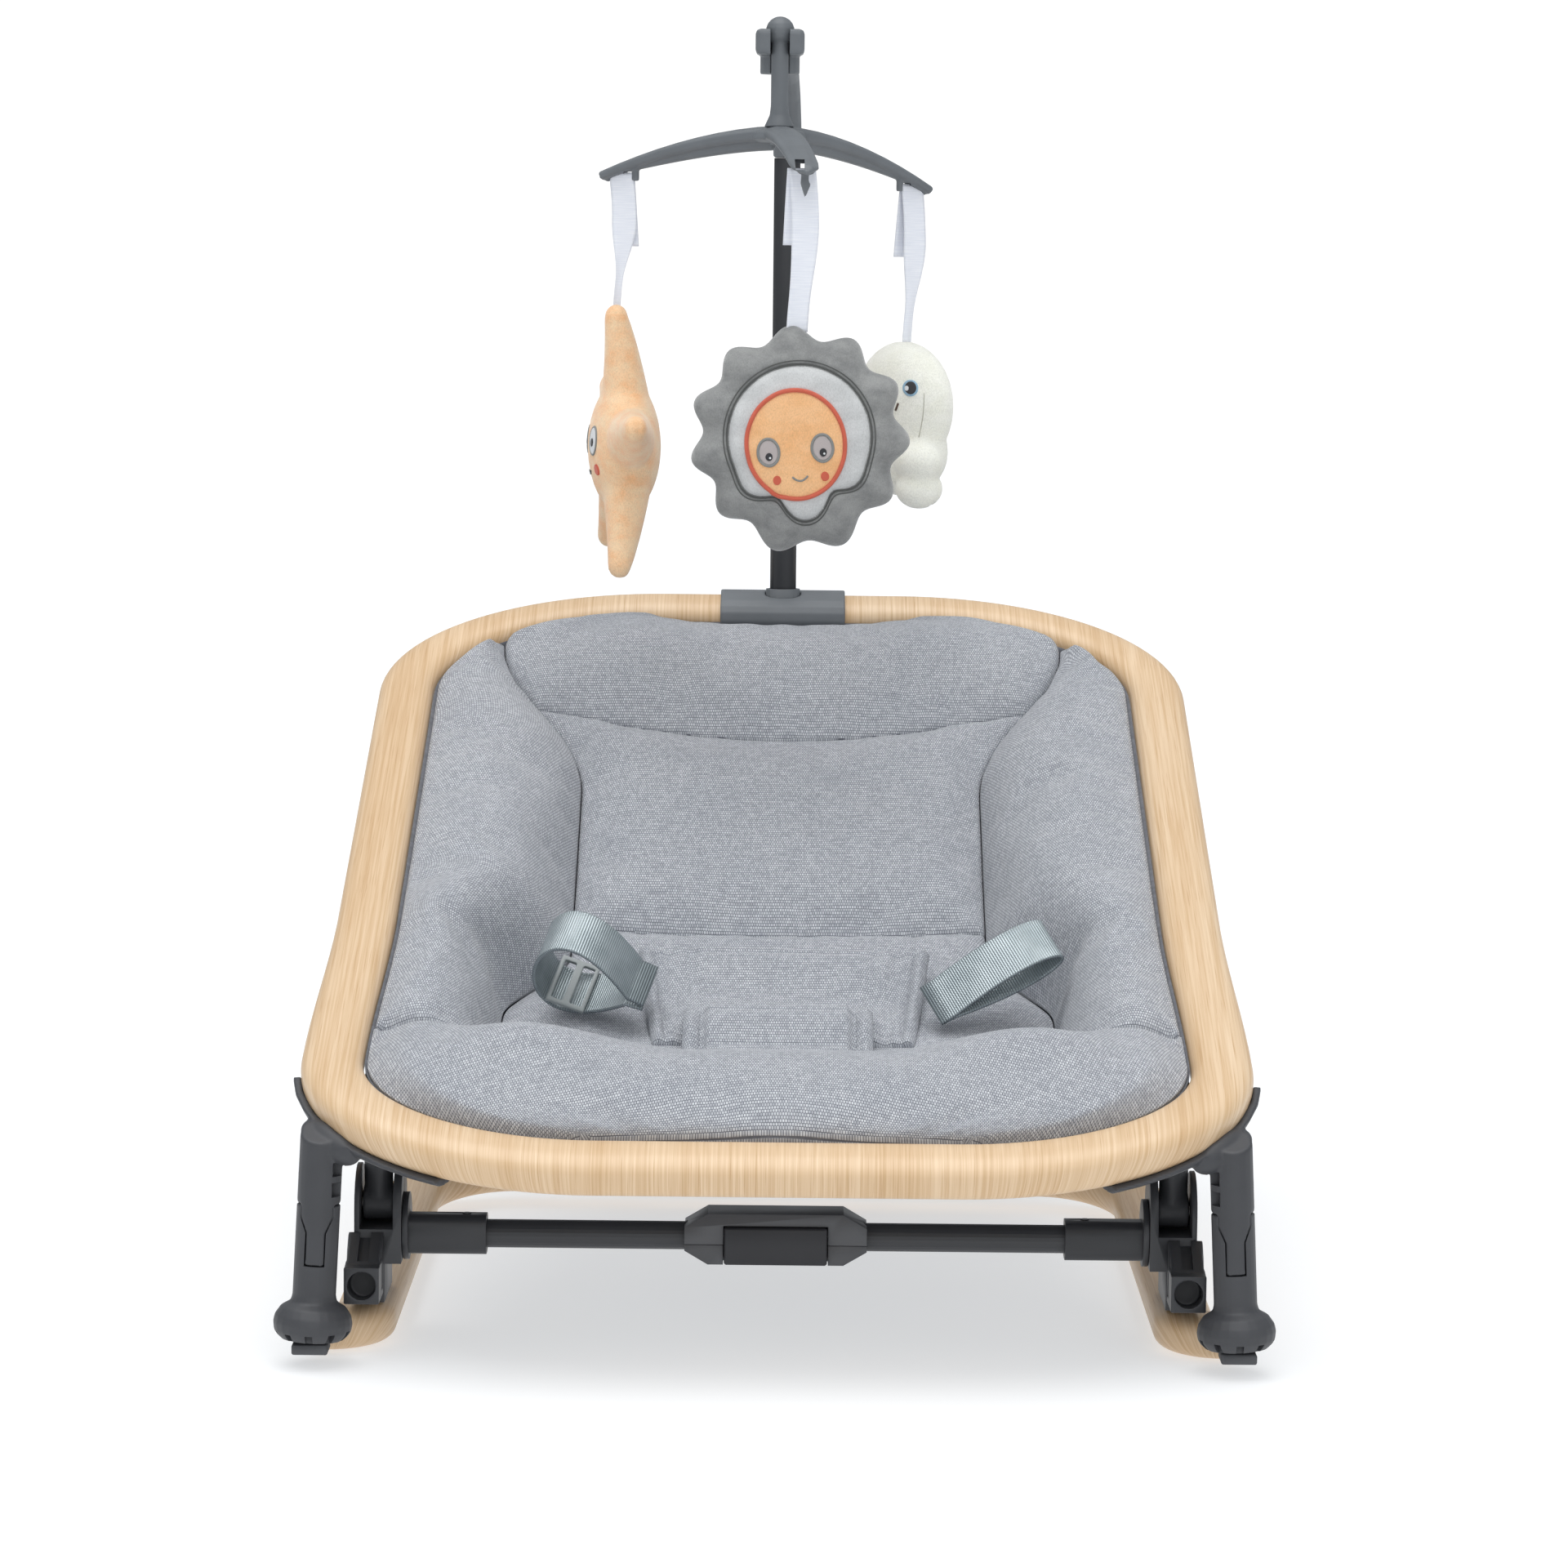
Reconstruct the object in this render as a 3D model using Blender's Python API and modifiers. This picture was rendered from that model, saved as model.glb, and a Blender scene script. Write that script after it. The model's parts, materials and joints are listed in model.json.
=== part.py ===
"""Infant bouncer seat: a sloping padded ring on a rocker base, with a plug-in toy bar.

Metres, +Z up, +X to the right in the front view, +Y towards the head end.
The seat ring lies in its own sloping plane. Points on the seat are given as (x, s, n):
x across, s up the slope from the front rail's centreline, n square to the ring's plane.
"""

import math

import bmesh
import bpy
from mathutils import Matrix, Vector

# ---- driving dimensions -------------------------------------------------------------------
SLOPE = math.radians(20)
RING_FRONT = Vector((0, -0.3300, 0.1135))
RING_LENGTH = 0.702
RING_HALF_WIDTH = 0.236
RING_FRONT_HALF_WIDTH = 0.2415
FRONT_CORNER = (0.145, 0.105)
REAR_CORNER = (0.160, 0.130)
TUBE_HALF_WIDTH = 0.0170
TUBE_HALF_HEIGHT = 0.0118
TUBE_POWER = 2.6
GAP = 0.0003

BRACKET_WALL = 0.0045
LEG_TOP = Vector((0.2423, -0.2860, 0.1180))
LEG_FOOT = Vector((0.2478, -0.2900, 0.0))
LEG_RADIUS = 0.01165
LEG_SPLIT = 0.0845
SPIGOT_RADIUS = 0.0082
SPIGOT_END = 0.0455
BULB_RADIUS = 0.0213
PEG_SIDE = 0.0192
PEG_BOTTOM = 0.0046
PEG_TOP = 0.0103

PIVOT_Y = -0.2200
PIVOT_Z = 0.0720
PIN_RADIUS = 0.0030
KNUCKLE_RADIUS = 0.0090
POST_RADIUS = 0.0080
POST_X = 0.2171
HUB_INNER = 0.2035
HUB_OUTER = 0.2290
POCKET_INNER = 0.2080
POCKET_OUTER = 0.2262
HUB_FRONT = -0.2400
HUB_BACK = -0.1950
HUB_BOTTOM = 0.0212
HUB_WAIST = 0.0425
HUB_FOOT_INNER = 0.2125

FLOOR_Z = -0.0030
RUNNER_X = 0.2238
REAR_TUBE_Y = 0.1600
REAR_BEND = 0.0620
NOSE_Y = -0.2480
NOSE_END_X = 0.2480
NOSE_BEND = 0.0200
REAR_RISE = 0.0080
NOSE_RISE = 0.0003
FLAT_FROM = -0.1000
FLAT_TO = 0.0700

BAR_Y = -0.2220
BAR_Z = 0.0560
BAR_RADIUS = 0.00775
BAR_BORE = 0.0058
SLEEVE_HALF = 0.0110
SLEEVE_END = 0.1580
HOUSING_HALF = 0.0497
HOUSING_SHOULDER = 0.0370
HOUSING_BOTTOM = 0.0425
HOUSING_TOP = 0.0705
HOUSING_FRONT = -0.2350
HOUSING_BACK = -0.2090
PARTING_Z = 0.0535
WALL = 0.0024
BUTTON_HALF = 0.0281
BUTTON_TOP = 0.0634
BUTTON_PROUD = 0.0025
ROD_RADIUS = 0.0025
ROD_BORE = 0.0031
ROD_INNER_END = 0.0340
RIVET_X = 0.1690

POLE_Y = 0.3300
POLE_HALF_WIDTH = 0.00875
POLE_HALF_DEPTH = 0.0055
POLE_BOTTOM = 0.3490
POLE_TOP = 0.6500
HANGER = Vector((-0.0050, 0.1300, 0.7230))
BALL_RADIUS = 0.0088
ROD_BOTTOM = 0.6680
SPIDER_Z = 0.6620
SPIDER_REACH = 0.1170
SPIDER_DROPS = (0.0230, 0.0320, 0.0255)
HOOK_REACH = 0.1000
HANGER_TURN = math.radians(8.0)

ORIGIN_SHIFT = Vector((0, -0.0014, -FLOOR_Z))
PAD_FILL = 0.0160
SLING_GAP = 0.0030
SLING_THICKNESS = 0.0025
PAD_SIDE_CLEARANCE = 0.0050
SEAM_GAP = 0.0016
ROLL_SHOULDER = 0.0130
WEBBING_WIDTH = 0.0280
ADJUSTER_LIFT = 0.0078
# For each strap loop: its length, its height, its lean, its turn, and the x, s and n it starts from.
STRAP_LOOPS = {
    "left": (0.0580, 0.0590, 0.28, math.radians(10), (0.0800, 0.236, -0.0195)),
    "right": (0.0720, 0.0180, 0.46, math.radians(15), (0.0930, 0.238, -0.0290)),
}

SIDES = {"left": -1, "right": 1}

# Linear base colour, roughness, metallic.
FINISHES = {
    "wood_film": ((0.72, 0.52, 0.31), 0.45, 0.0),
    "grey_plastic": ((0.095, 0.105, 0.115), 0.50, 0.0),
    "dark_plastic": ((0.045, 0.050, 0.058), 0.50, 0.0),
    "rubber": ((0.080, 0.088, 0.095), 0.75, 0.0),
    "steel": ((0.55, 0.56, 0.58), 0.30, 1.0),
    "pole": ((0.020, 0.022, 0.026), 0.40, 0.0),
    "sling": ((0.12, 0.13, 0.15), 0.90, 0.0),
    "knit": ((0.36, 0.38, 0.43), 0.95, 0.0),
    "webbing": ((0.22, 0.26, 0.27), 0.40, 0.0),
    "buckle": ((0.33, 0.36, 0.36), 0.40, 0.0),
    "ribbon": ((0.86, 0.88, 0.94), 0.35, 0.0),
    "orange_velour": ((0.93, 0.52, 0.25), 0.95, 0.0),
    "grey_velour": ((0.30, 0.31, 0.32), 0.95, 0.0),
    "cream_velour": ((0.85, 0.84, 0.74), 0.95, 0.0),
}


# ---- scene, collections, materials --------------------------------------------------------
def new_collection(name):
    collection = bpy.data.collections.new(name)
    bpy.context.scene.collection.children.link(collection)
    return collection


for old in list(bpy.data.objects):
    bpy.data.objects.remove(old)
PARTS = new_collection("bouncer_seat")
CUTTERS = new_collection("cutters")
SEAT_MATRIX = Matrix.Translation(RING_FRONT) @ Matrix.Rotation(SLOPE, 4, "X")


def material(name):
    """The named finish as a Principled material, made once."""
    found = bpy.data.materials.get(name)
    if found:
        return found
    colour, roughness, metallic = FINISHES[name]
    made = bpy.data.materials.new(name)
    made.use_nodes = True
    shader = made.node_tree.nodes["Principled BSDF"]
    shader.inputs["Base Color"].default_value = (*colour, 1)
    shader.inputs["Roughness"].default_value = roughness
    shader.inputs["Metallic"].default_value = metallic
    return made


def own_material(obj, finish):
    """Give the object its own copy of a finish, named for the object."""
    copy = material(finish).copy()
    copy.name = obj.name
    obj.data.materials.clear()
    obj.data.materials.append(copy)


def link(obj, collection):
    collection.objects.link(obj)
    if collection is CUTTERS:
        obj.hide_render = True
        obj.display_type = "WIRE"
    return obj


def finish(obj, finish_name, parent=None):
    """Colour a part, shade it, and hang it on its joint's empty."""
    own_material(obj, finish_name)
    if obj.type == "MESH":
        obj.data.shade_smooth()
        obj.data.set_sharp_from_angle(angle=math.radians(35))
    if parent:
        bpy.context.view_layer.update()
        obj.parent = parent
        obj.matrix_parent_inverse = parent.matrix_world.inverted()
    return obj


def joint_empty(name, place, parent=None):
    empty = bpy.data.objects.new(name, None)
    empty.empty_display_size = 0.02
    empty.location = place
    PARTS.objects.link(empty)
    bpy.context.view_layer.update()
    if parent:
        empty.parent = parent
        empty.matrix_parent_inverse = parent.matrix_world.inverted()
        bpy.context.view_layer.update()
    return empty


# ---- shapes -------------------------------------------------------------------------------
def mesh_object(name, bm, collection=PARTS, matrix=None):
    """An object from a bmesh, with faces pointing out."""
    bm.normal_update()
    bmesh.ops.recalc_face_normals(bm, faces=bm.faces)
    mesh = bpy.data.meshes.new(name)
    bm.to_mesh(mesh)
    bm.free()
    obj = bpy.data.objects.new(name, mesh)
    obj.matrix_world = matrix or Matrix.Identity(4)
    return link(obj, collection)


def box(name, low, high, bevel=0.0, collection=PARTS):
    """A box between two corners, with rounded edges if bevel is given."""
    bm = bmesh.new()
    bmesh.ops.create_cube(bm, size=1)
    low, high = Vector(low), Vector(high)
    size = high - low
    for vert in bm.verts:
        vert.co = Vector(c * s for c, s in zip(vert.co, size))
    obj = mesh_object(name, bm, collection)
    obj.location = (low + high) / 2
    if bevel:
        rounded = obj.modifiers.new("rounded", "BEVEL")
        rounded.width = bevel
        rounded.segments = 2
    return obj


def cylinder(name, start, end, radius, segments=20, collection=PARTS):
    """A round bar from one point to another."""
    start, end = Vector(start), Vector(end)
    bm = bmesh.new()
    bmesh.ops.create_cone(
        bm,
        cap_ends=True,
        segments=segments,
        radius1=radius,
        radius2=radius,
        depth=(end - start).length,
    )
    obj = mesh_object(name, bm, collection)
    obj.location = (start + end) / 2
    obj.rotation_mode = "QUATERNION"
    obj.rotation_quaternion = Vector((0, 0, 1)).rotation_difference(end - start)
    return obj


def turned(name, profile, segments=24, collection=PARTS):
    """A profile of (radius, height) points, listed down its outer side, turned about Z."""
    bm = bmesh.new()
    verts = [bm.verts.new((radius, 0, height)) for radius, height in profile]
    for first, second in zip(verts, verts[1:]):
        bm.edges.new((first, second))
    mesh = bpy.data.meshes.new(name)
    bm.to_mesh(mesh)
    bm.free()
    obj = link(bpy.data.objects.new(name, mesh), collection)
    screw = obj.modifiers.new("turned", "SCREW")
    screw.steps = segments
    screw.render_steps = segments
    screw.use_merge_vertices = True
    screw.merge_threshold = 0.00001
    screw.use_normal_calculate = True
    return obj


def poly_curve(name, points, cyclic=False, flat=False):
    curve = bpy.data.curves.new(name, "CURVE")
    curve.dimensions = "2D" if flat else "3D"
    spline = curve.splines.new("POLY")
    spline.points.add(len(points) - 1)
    for spot, point in zip(spline.points, points):
        spot.co = (*point, 1) if len(point) == 3 else (*point, 0, 1)
    spline.use_cyclic_u = cyclic
    return curve


def section(half_width, half_height, power, count=16):
    """A rounded section: a superellipse read at even angles."""
    points = []
    for i in range(count):
        angle = 2 * math.pi * (i + 0.5) / count
        across, up = math.cos(angle), math.sin(angle)
        points.append(
            (
                math.copysign(abs(across) ** (2 / power), across) * half_width,
                math.copysign(abs(up) ** (2 / power), up) * half_height,
            )
        )
    return points


def swept(name, path, profile, cyclic=False, flat=False, collection=PARTS, matrix=None, scales=None):
    """A profile swept along a path, made a closed mesh."""
    outline = poly_curve(name + "_section", profile, True, True)
    guide = link(bpy.data.objects.new(name + "_section", outline), CUTTERS)
    curve = poly_curve(name, path, cyclic, flat)
    curve.bevel_mode = "OBJECT"
    curve.bevel_object = guide
    curve.use_fill_caps = not cyclic
    curve.twist_mode = "Z_UP"
    for spot, scale in zip(curve.splines[0].points, scales or []):
        spot.radius = scale
    obj = link(bpy.data.objects.new(name, curve), collection)
    obj.matrix_world = matrix or Matrix.Identity(4)
    made = made_mesh(obj, collection)
    bpy.data.objects.remove(guide)
    return made


def made_mesh(obj, collection=PARTS):
    """The evaluated object as a plain mesh object of the same name and place; the first is removed."""
    bpy.context.view_layer.update()
    graph = bpy.context.evaluated_depsgraph_get()
    mesh = bpy.data.meshes.new_from_object(obj.evaluated_get(graph))
    bm = bmesh.new()
    bm.from_mesh(mesh)
    bmesh.ops.remove_doubles(bm, verts=bm.verts, dist=0.00001)
    bmesh.ops.recalc_face_normals(bm, faces=bm.faces)
    bm.to_mesh(mesh)
    bm.free()
    name, place = obj.name, obj.matrix_world.copy()
    bpy.data.objects.remove(obj)
    made = bpy.data.objects.new(name, mesh)
    made.name = name
    made.matrix_world = place
    return link(made, collection)


def plate(name, outline, low_x, high_x, collection=PARTS):
    """An outline of (y, z) points extruded along X."""
    bm = bmesh.new()
    bottom = bm.faces.new([bm.verts.new((low_x, y, z)) for y, z in outline])
    grown = bmesh.ops.extrude_face_region(bm, geom=[bottom])
    for item in grown["geom"]:
        if isinstance(item, bmesh.types.BMVert):
            item.co.x = high_x
    return mesh_object(name, bm, collection)


def boolean(obj, other, operation="DIFFERENCE"):
    """Cut or join with another object, which becomes a hidden tool."""
    if other.name not in CUTTERS.objects:
        for collection in list(other.users_collection):
            collection.objects.unlink(other)
        link(other, CUTTERS)
    modifier = obj.modifiers.new(operation.lower(), "BOOLEAN")
    modifier.operation = operation
    modifier.object = other
    modifier.solver = "EXACT"
    return obj


def mirrored(obj, name):
    """The evaluated object reflected across the middle plane."""
    bpy.context.view_layer.update()
    graph = bpy.context.evaluated_depsgraph_get()
    mesh = bpy.data.meshes.new_from_object(obj.evaluated_get(graph))
    mesh.transform(Matrix.Scale(-1, 4, (1, 0, 0)) @ obj.matrix_world)
    mesh.flip_normals()
    return link(bpy.data.objects.new(name, mesh), PARTS)


def pair(obj, stem, finish_name, parent=None):
    """Name the right-hand piece, make its left-hand mirror, and finish both."""
    left = mirrored(obj, stem + "_left")
    obj.name = stem + "_right"
    finish(left, finish_name, parent)
    finish(obj, finish_name, parent)


# ---- the seat ring ------------------------------------------------------------------------
def smooth(t):
    t = min(max(t, 0), 1)
    return t * t * (3 - 2 * t)


def side_half_width(s):
    """Half the ring's centreline width along its sides, a little wider at the front."""
    return RING_FRONT_HALF_WIDTH + (RING_HALF_WIDTH - RING_FRONT_HALF_WIDTH) * smooth((s - 0.105) / 0.165)


def ring_half_width(s, inset=0.0):
    """Half width at s of the ring's outline, moved inwards by inset."""
    (front_x, front_s), (rear_x, rear_s) = FRONT_CORNER, REAR_CORNER
    if s < front_s:
        across = min(max((front_s - s) / (front_s - inset), 0), 1)
        return RING_FRONT_HALF_WIDTH - front_x + (front_x - inset) * math.sqrt(1 - across**2)
    if s > RING_LENGTH - rear_s:
        across = min(max((s - RING_LENGTH + rear_s) / (rear_s - inset), 0), 1)
        return RING_HALF_WIDTH - rear_x + (rear_x - inset) * math.sqrt(1 - across**2)
    return side_half_width(s) - inset


def front_corner_point(angle):
    """A point on the front corner, from the front rail at angle 0 to the side at a quarter turn."""
    (rx, rs) = FRONT_CORNER
    return (RING_FRONT_HALF_WIDTH - rx + rx * math.sin(angle), rs - rs * math.cos(angle))


def ring_path(steps=9):
    """The ring's centreline in its own plane, once round."""
    quarter = math.pi / 2
    half = [(0, 0)] + [front_corner_point(quarter * i / steps) for i in range(steps + 1)]
    half += [(side_half_width(s), s) for s in (0.150, 0.200, 0.270, 0.420)]
    (rx, rs) = REAR_CORNER
    for i in range(steps + 1):
        angle = quarter * i / steps
        half.append((RING_HALF_WIDTH - rx + rx * math.cos(angle), RING_LENGTH - rs + rs * math.sin(angle)))
    half.append((0, RING_LENGTH))
    return half + [(-x, s) for x, s in reversed(half[1:-1])]


def ring_solid(name, grow=0.0, collection=PARTS):
    profile = section(TUBE_HALF_WIDTH + grow, TUBE_HALF_HEIGHT + grow, TUBE_POWER)
    return swept(name, ring_path(), profile, True, True, collection, SEAT_MATRIX)


def seat_point(x, s, n):
    return SEAT_MATRIX @ Vector((x, s, n))


def pole_section(grow=0.0, count=12):
    return section(POLE_HALF_WIDTH + grow, POLE_HALF_DEPTH + grow, 2.3, count)


def pole_cutter(name, grow):
    """A straight flat-oval prism along the pole's axis, for the socket holes."""
    bm = bmesh.new()
    face = bm.faces.new([bm.verts.new((x, y, 0)) for x, y in pole_section(grow)])
    grown = bmesh.ops.extrude_face_region(bm, geom=[face])
    for item in grown["geom"]:
        if isinstance(item, bmesh.types.BMVert):
            item.co.z = 0.060
    obj = mesh_object(name, bm, CUTTERS)
    obj.location = (0, POLE_Y, POLE_BOTTOM - 0.0015)
    return obj


def make_ring(seat):
    ring = ring_solid("seat_ring")
    boolean(ring, pole_cutter("ring_pole_hole", 0.0030))
    finish(ring, "wood_film", seat)


# ---- front corner brackets, legs and feet -------------------------------------------------
def leg_point(z):
    share = (LEG_TOP.z - z) / (LEG_TOP.z - LEG_FOOT.z)
    return LEG_TOP.lerp(LEG_FOOT, share)


def pin_bore(name):
    """The hole for a pivot pin, through everything at one side."""
    near, far = (HUB_INNER - GAP, PIVOT_Y, PIVOT_Z), (HUB_OUTER + GAP, PIVOT_Y, PIVOT_Z)
    return cylinder(name, near, far, PIN_RADIUS + GAP, 16, CUTTERS)


def make_brackets(seat):
    """Each bracket is a trough under the ring's corner, with a leg stub, a seat post and a web."""
    wall = BRACKET_WALL
    quarter = math.pi / 2
    corner = [front_corner_point(quarter * (0.34 + 0.62 * i / 8)) for i in range(9)]
    bracket = swept(
        "corner_bracket",
        corner,
        section(TUBE_HALF_WIDTH + wall, TUBE_HALF_HEIGHT + wall, TUBE_POWER),
        flat=True,
        matrix=SEAT_MATRIX,
    )
    leg = cylinder("leg_stub", leg_point(LEG_SPLIT + GAP), leg_point(0.1270), LEG_RADIUS, 20)
    spigot = cylinder("leg_spigot", leg_point(SPIGOT_END), leg_point(LEG_SPLIT + 0.004), SPIGOT_RADIUS, 16)
    post_top = (POST_X + 0.0006, PIVOT_Y - 0.0020, 0.1280)
    post = cylinder("seat_post", (POST_X, PIVOT_Y, PIVOT_Z), post_top, POST_RADIUS, 16)
    knuckle = cylinder(
        "knuckle",
        (POCKET_INNER + 0.0006, PIVOT_Y, PIVOT_Z),
        (POCKET_OUTER - 0.0006, PIVOT_Y, PIVOT_Z),
        KNUCKLE_RADIUS,
        24,
    )
    web = box("web", (-0.0045, 0, 0.1035), (0.0045, 0.0740, 0.1300))
    web.location = (0.2290, -0.2540, 0.1168)
    web.rotation_euler = (0, 0, math.atan2(0.0240, 0.0660))
    for piece in (leg, spigot, post, knuckle, web):
        boolean(bracket, piece, "UNION")
    boolean(bracket, ring_solid("bracket_ring_space", GAP, CUTTERS))
    above = box("bracket_open_top", (0.1, -0.10, 0.0), (0.35, 0.30, 0.08), collection=CUTTERS)
    rim = Matrix.Translation((0, 0.095, -0.0010)) @ Matrix.Rotation(math.radians(4.7), 4, "X")
    above.matrix_world = SEAT_MATRIX @ rim @ above.matrix_basis
    boolean(bracket, above)
    boolean(bracket, pin_bore("knuckle_bore"))
    pair(made_mesh(bracket), "corner_bracket", "grey_plastic", seat)

    top = LEG_SPLIT
    profile = [
        (0, SPIGOT_END - 0.001),
        (SPIGOT_RADIUS + GAP, SPIGOT_END - 0.001),
        (SPIGOT_RADIUS + GAP, top),
        (LEG_RADIUS, top),
        (LEG_RADIUS, 0.0355),
        (0.0125, 0.0320),
        (0.0175, 0.0290),
        (0.0205, 0.0245),
        (BULB_RADIUS, 0.0207),
        (0.0207, 0.0165),
        (0.0190, 0.0140),
        (0.0165, 0.0116),
        (0.0055, 0.0116),
        (0.0055, 0.0240),
        (0, 0.0240),
    ]
    sleeve = turned("leg_sleeve", [(r, z - top) for r, z in profile])
    sleeve.location = leg_point(top)
    sleeve.rotation_mode = "QUATERNION"
    sleeve.rotation_quaternion = Vector((0, 0, 1)).rotation_difference(LEG_TOP - LEG_FOOT)
    pair(made_mesh(sleeve), "leg_sleeve", "grey_plastic", seat)

    half = PEG_SIDE / 2
    centre = leg_point(0.0)
    peg = box(
        "foot_peg",
        (centre.x - half, centre.y - half, PEG_BOTTOM),
        (centre.x + half, centre.y + half, PEG_TOP),
    )
    stem_top = leg_point(0.0230)
    stem = cylinder("peg_stem", (centre.x, centre.y, PEG_TOP - 0.002), stem_top, 0.0048, 12)
    boolean(peg, stem, "UNION")
    pair(made_mesh(peg), "foot_peg", "rubber", seat)


# ---- the rocker base ----------------------------------------------------------------------
def runner_bottom(y):
    """Height of the rocker's underside: flat where it stands, rising to the rear and the nose."""
    if y > FLAT_TO:
        return FLOOR_Z + REAR_RISE * ((y - FLAT_TO) / (REAR_TUBE_Y - FLAT_TO)) ** 2
    if y < FLAT_FROM:
        return FLOOR_Z + NOSE_RISE * ((FLAT_FROM - y) / (FLAT_FROM - NOSE_Y)) ** 2
    return FLOOR_Z


def rocker_path():
    half = [(NOSE_END_X, NOSE_Y)]
    centre_x = RUNNER_X + NOSE_BEND
    for i in range(7):
        angle = -math.pi / 2 - math.pi / 2 * i / 6
        half.append((centre_x + NOSE_BEND * math.cos(angle), NOSE_Y + NOSE_BEND * (1 + math.sin(angle))))
    half += [(RUNNER_X, y) for y in (-0.160, FLAT_FROM, -0.030, 0.030)]
    for i in range(9):
        angle = math.pi / 2 * i / 8
        half.append(
            (
                RUNNER_X - REAR_BEND + REAR_BEND * math.cos(angle),
                REAR_TUBE_Y - REAR_BEND + REAR_BEND * math.sin(angle),
            )
        )
    half = [(x, y, runner_bottom(y) + TUBE_HALF_HEIGHT) for x, y in half]
    return half + [(0, REAR_TUBE_Y, half[-1][2])] + [(-x, y, z) for x, y, z in reversed(half)]


def make_base():
    profile = section(TUBE_HALF_WIDTH, TUBE_HALF_HEIGHT, TUBE_POWER)
    lowest = min(z for _, z in profile)
    profile = [(x, z * TUBE_HALF_HEIGHT / -lowest) for x, z in profile]
    frame = swept("rocker_frame", rocker_path(), profile)
    finish(frame, "wood_film")

    height = runner_bottom(NOSE_Y) + TUBE_HALF_HEIGHT
    plug = swept(
        "runner_plug",
        [(NOSE_END_X + GAP, NOSE_Y, height), (NOSE_END_X + 0.0030, NOSE_Y, height)],
        section(TUBE_HALF_WIDTH - 0.0010, TUBE_HALF_HEIGHT - 0.0010, TUBE_POWER),
    )
    pair(plug, "runner_plug", "dark_plastic")


def make_hubs():
    """A clevis on each runner, holding the seat post on a pivot pin, with a socket arm in front."""
    arc = [
        (PIVOT_Y + 0.0220 * math.cos(math.radians(a)), PIVOT_Z + 0.0220 * math.sin(math.radians(a)))
        for a in range(0, 181, 20)
    ]
    front, back = HUB_FRONT - 0.0020, HUB_BACK + 0.0060
    hub = plate("hub", [(front, HUB_WAIST), (back, HUB_WAIST)] + arc, HUB_INNER, HUB_OUTER)
    foot = [(front, HUB_BOTTOM), (back, HUB_BOTTOM), (back, HUB_WAIST + 0.002), (front, HUB_WAIST + 0.002)]
    boolean(hub, plate("hub_foot", foot, HUB_FOOT_INNER, HUB_OUTER), "UNION")
    for name, y_from, y_to, z_from in (
        ("hub_pocket", HUB_FRONT - 0.0500, PIVOT_Y + 0.0140, PIVOT_Z - 0.0105),
        ("hub_back_gap", PIVOT_Y, HUB_BACK + 0.0500, PIVOT_Z + 0.0020),
    ):
        low, high = (POCKET_INNER, y_from, z_from), (POCKET_OUTER, y_to, PIVOT_Z + 0.0500)
        boolean(hub, box(name, low, high, collection=CUTTERS))
    boolean(hub, pin_bore("hub_bore"))
    pair(made_mesh(hub), "hub", "dark_plastic")

    near, far = (HUB_INNER + GAP, PIVOT_Y, PIVOT_Z), (HUB_OUTER - GAP, PIVOT_Y, PIVOT_Z)
    pin = cylinder("pivot_pin", near, far, PIN_RADIUS, 16)
    pair(made_mesh(pin), "pivot_pin", "steel")

    front -= GAP
    side = [
        (front, 0.0605),
        (front - 0.0090, 0.0530),
        (front - 0.0120, 0.0475),
        (-0.2725, 0.0465),
        (-0.2725, 0.0265),
        (front, 0.0265),
    ]
    arm = plate("socket_arm", side, 0.2130, 0.2320)
    cup = cylinder("cup", (0.2225, -0.290, 0.0385), (0.2225, -0.2565, 0.0350), 0.00765, 20, CUTTERS)
    boolean(arm, cup)
    for name, low, high in (("arm_slot_in", 0.2000, 0.2160), ("arm_slot_out", 0.2290, 0.2400)):
        boolean(arm, box(name, (low, -0.2530, 0.0300), (high, -0.2460, 0.0440), collection=CUTTERS))
    pair(made_mesh(arm), "socket_arm", "dark_plastic")


def bar_point(x, lift=0.0):
    """A point on the crossbar's axis, or this far above it."""
    return (x, BAR_Y, BAR_Z + lift)


def make_crossbar():
    profile = section(SLEEVE_HALF, SLEEVE_HALF, 3.4, 20)
    inner = HUB_INNER - GAP
    stop = inner - 0.0025
    sleeve = swept("crossbar_sleeve", [bar_point(SLEEVE_END), bar_point(inner)], profile)
    disc = cylinder("sleeve_disc", bar_point(inner - 0.0030, 0.0040), bar_point(inner, 0.0040), 0.0185, 24)
    boolean(sleeve, disc, "UNION")
    mouth = bar_point(SLEEVE_END - GAP)
    boolean(sleeve, cylinder("sleeve_bore", mouth, bar_point(stop), BAR_RADIUS + GAP, 24, CUTTERS))
    rod_hole = cylinder("sleeve_rod_hole", bar_point(SLEEVE_END), bar_point(HUB_INNER), ROD_BORE, 12, CUTTERS)
    boolean(sleeve, rod_hole)
    seat, above = bar_point(RIVET_X, 0.0085), bar_point(RIVET_X, 0.0240)
    boolean(sleeve, cylinder("rivet_hole", seat, above, 0.0026, 12, CUTTERS))
    pair(made_mesh(sleeve), "crossbar_sleeve", "dark_plastic")

    for side, sign in SIDES.items():
        seat, head = bar_point(sign * RIVET_X, 0.0088), bar_point(sign * RIVET_X, SLEEVE_HALF + 0.0004)
        finish(cylinder("sleeve_rivet_" + side, seat, head, 0.0022, 12), "dark_plastic")

    tube = cylinder("crossbar_tube", bar_point(HOUSING_HALF - 0.0050), bar_point(stop - GAP), BAR_RADIUS, 24)
    boolean(tube, cylinder("tube_bore", bar_point(0.0200), bar_point(HUB_OUTER), BAR_BORE, 16, CUTTERS))
    pair(made_mesh(tube), "crossbar_tube", "dark_plastic")


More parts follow.
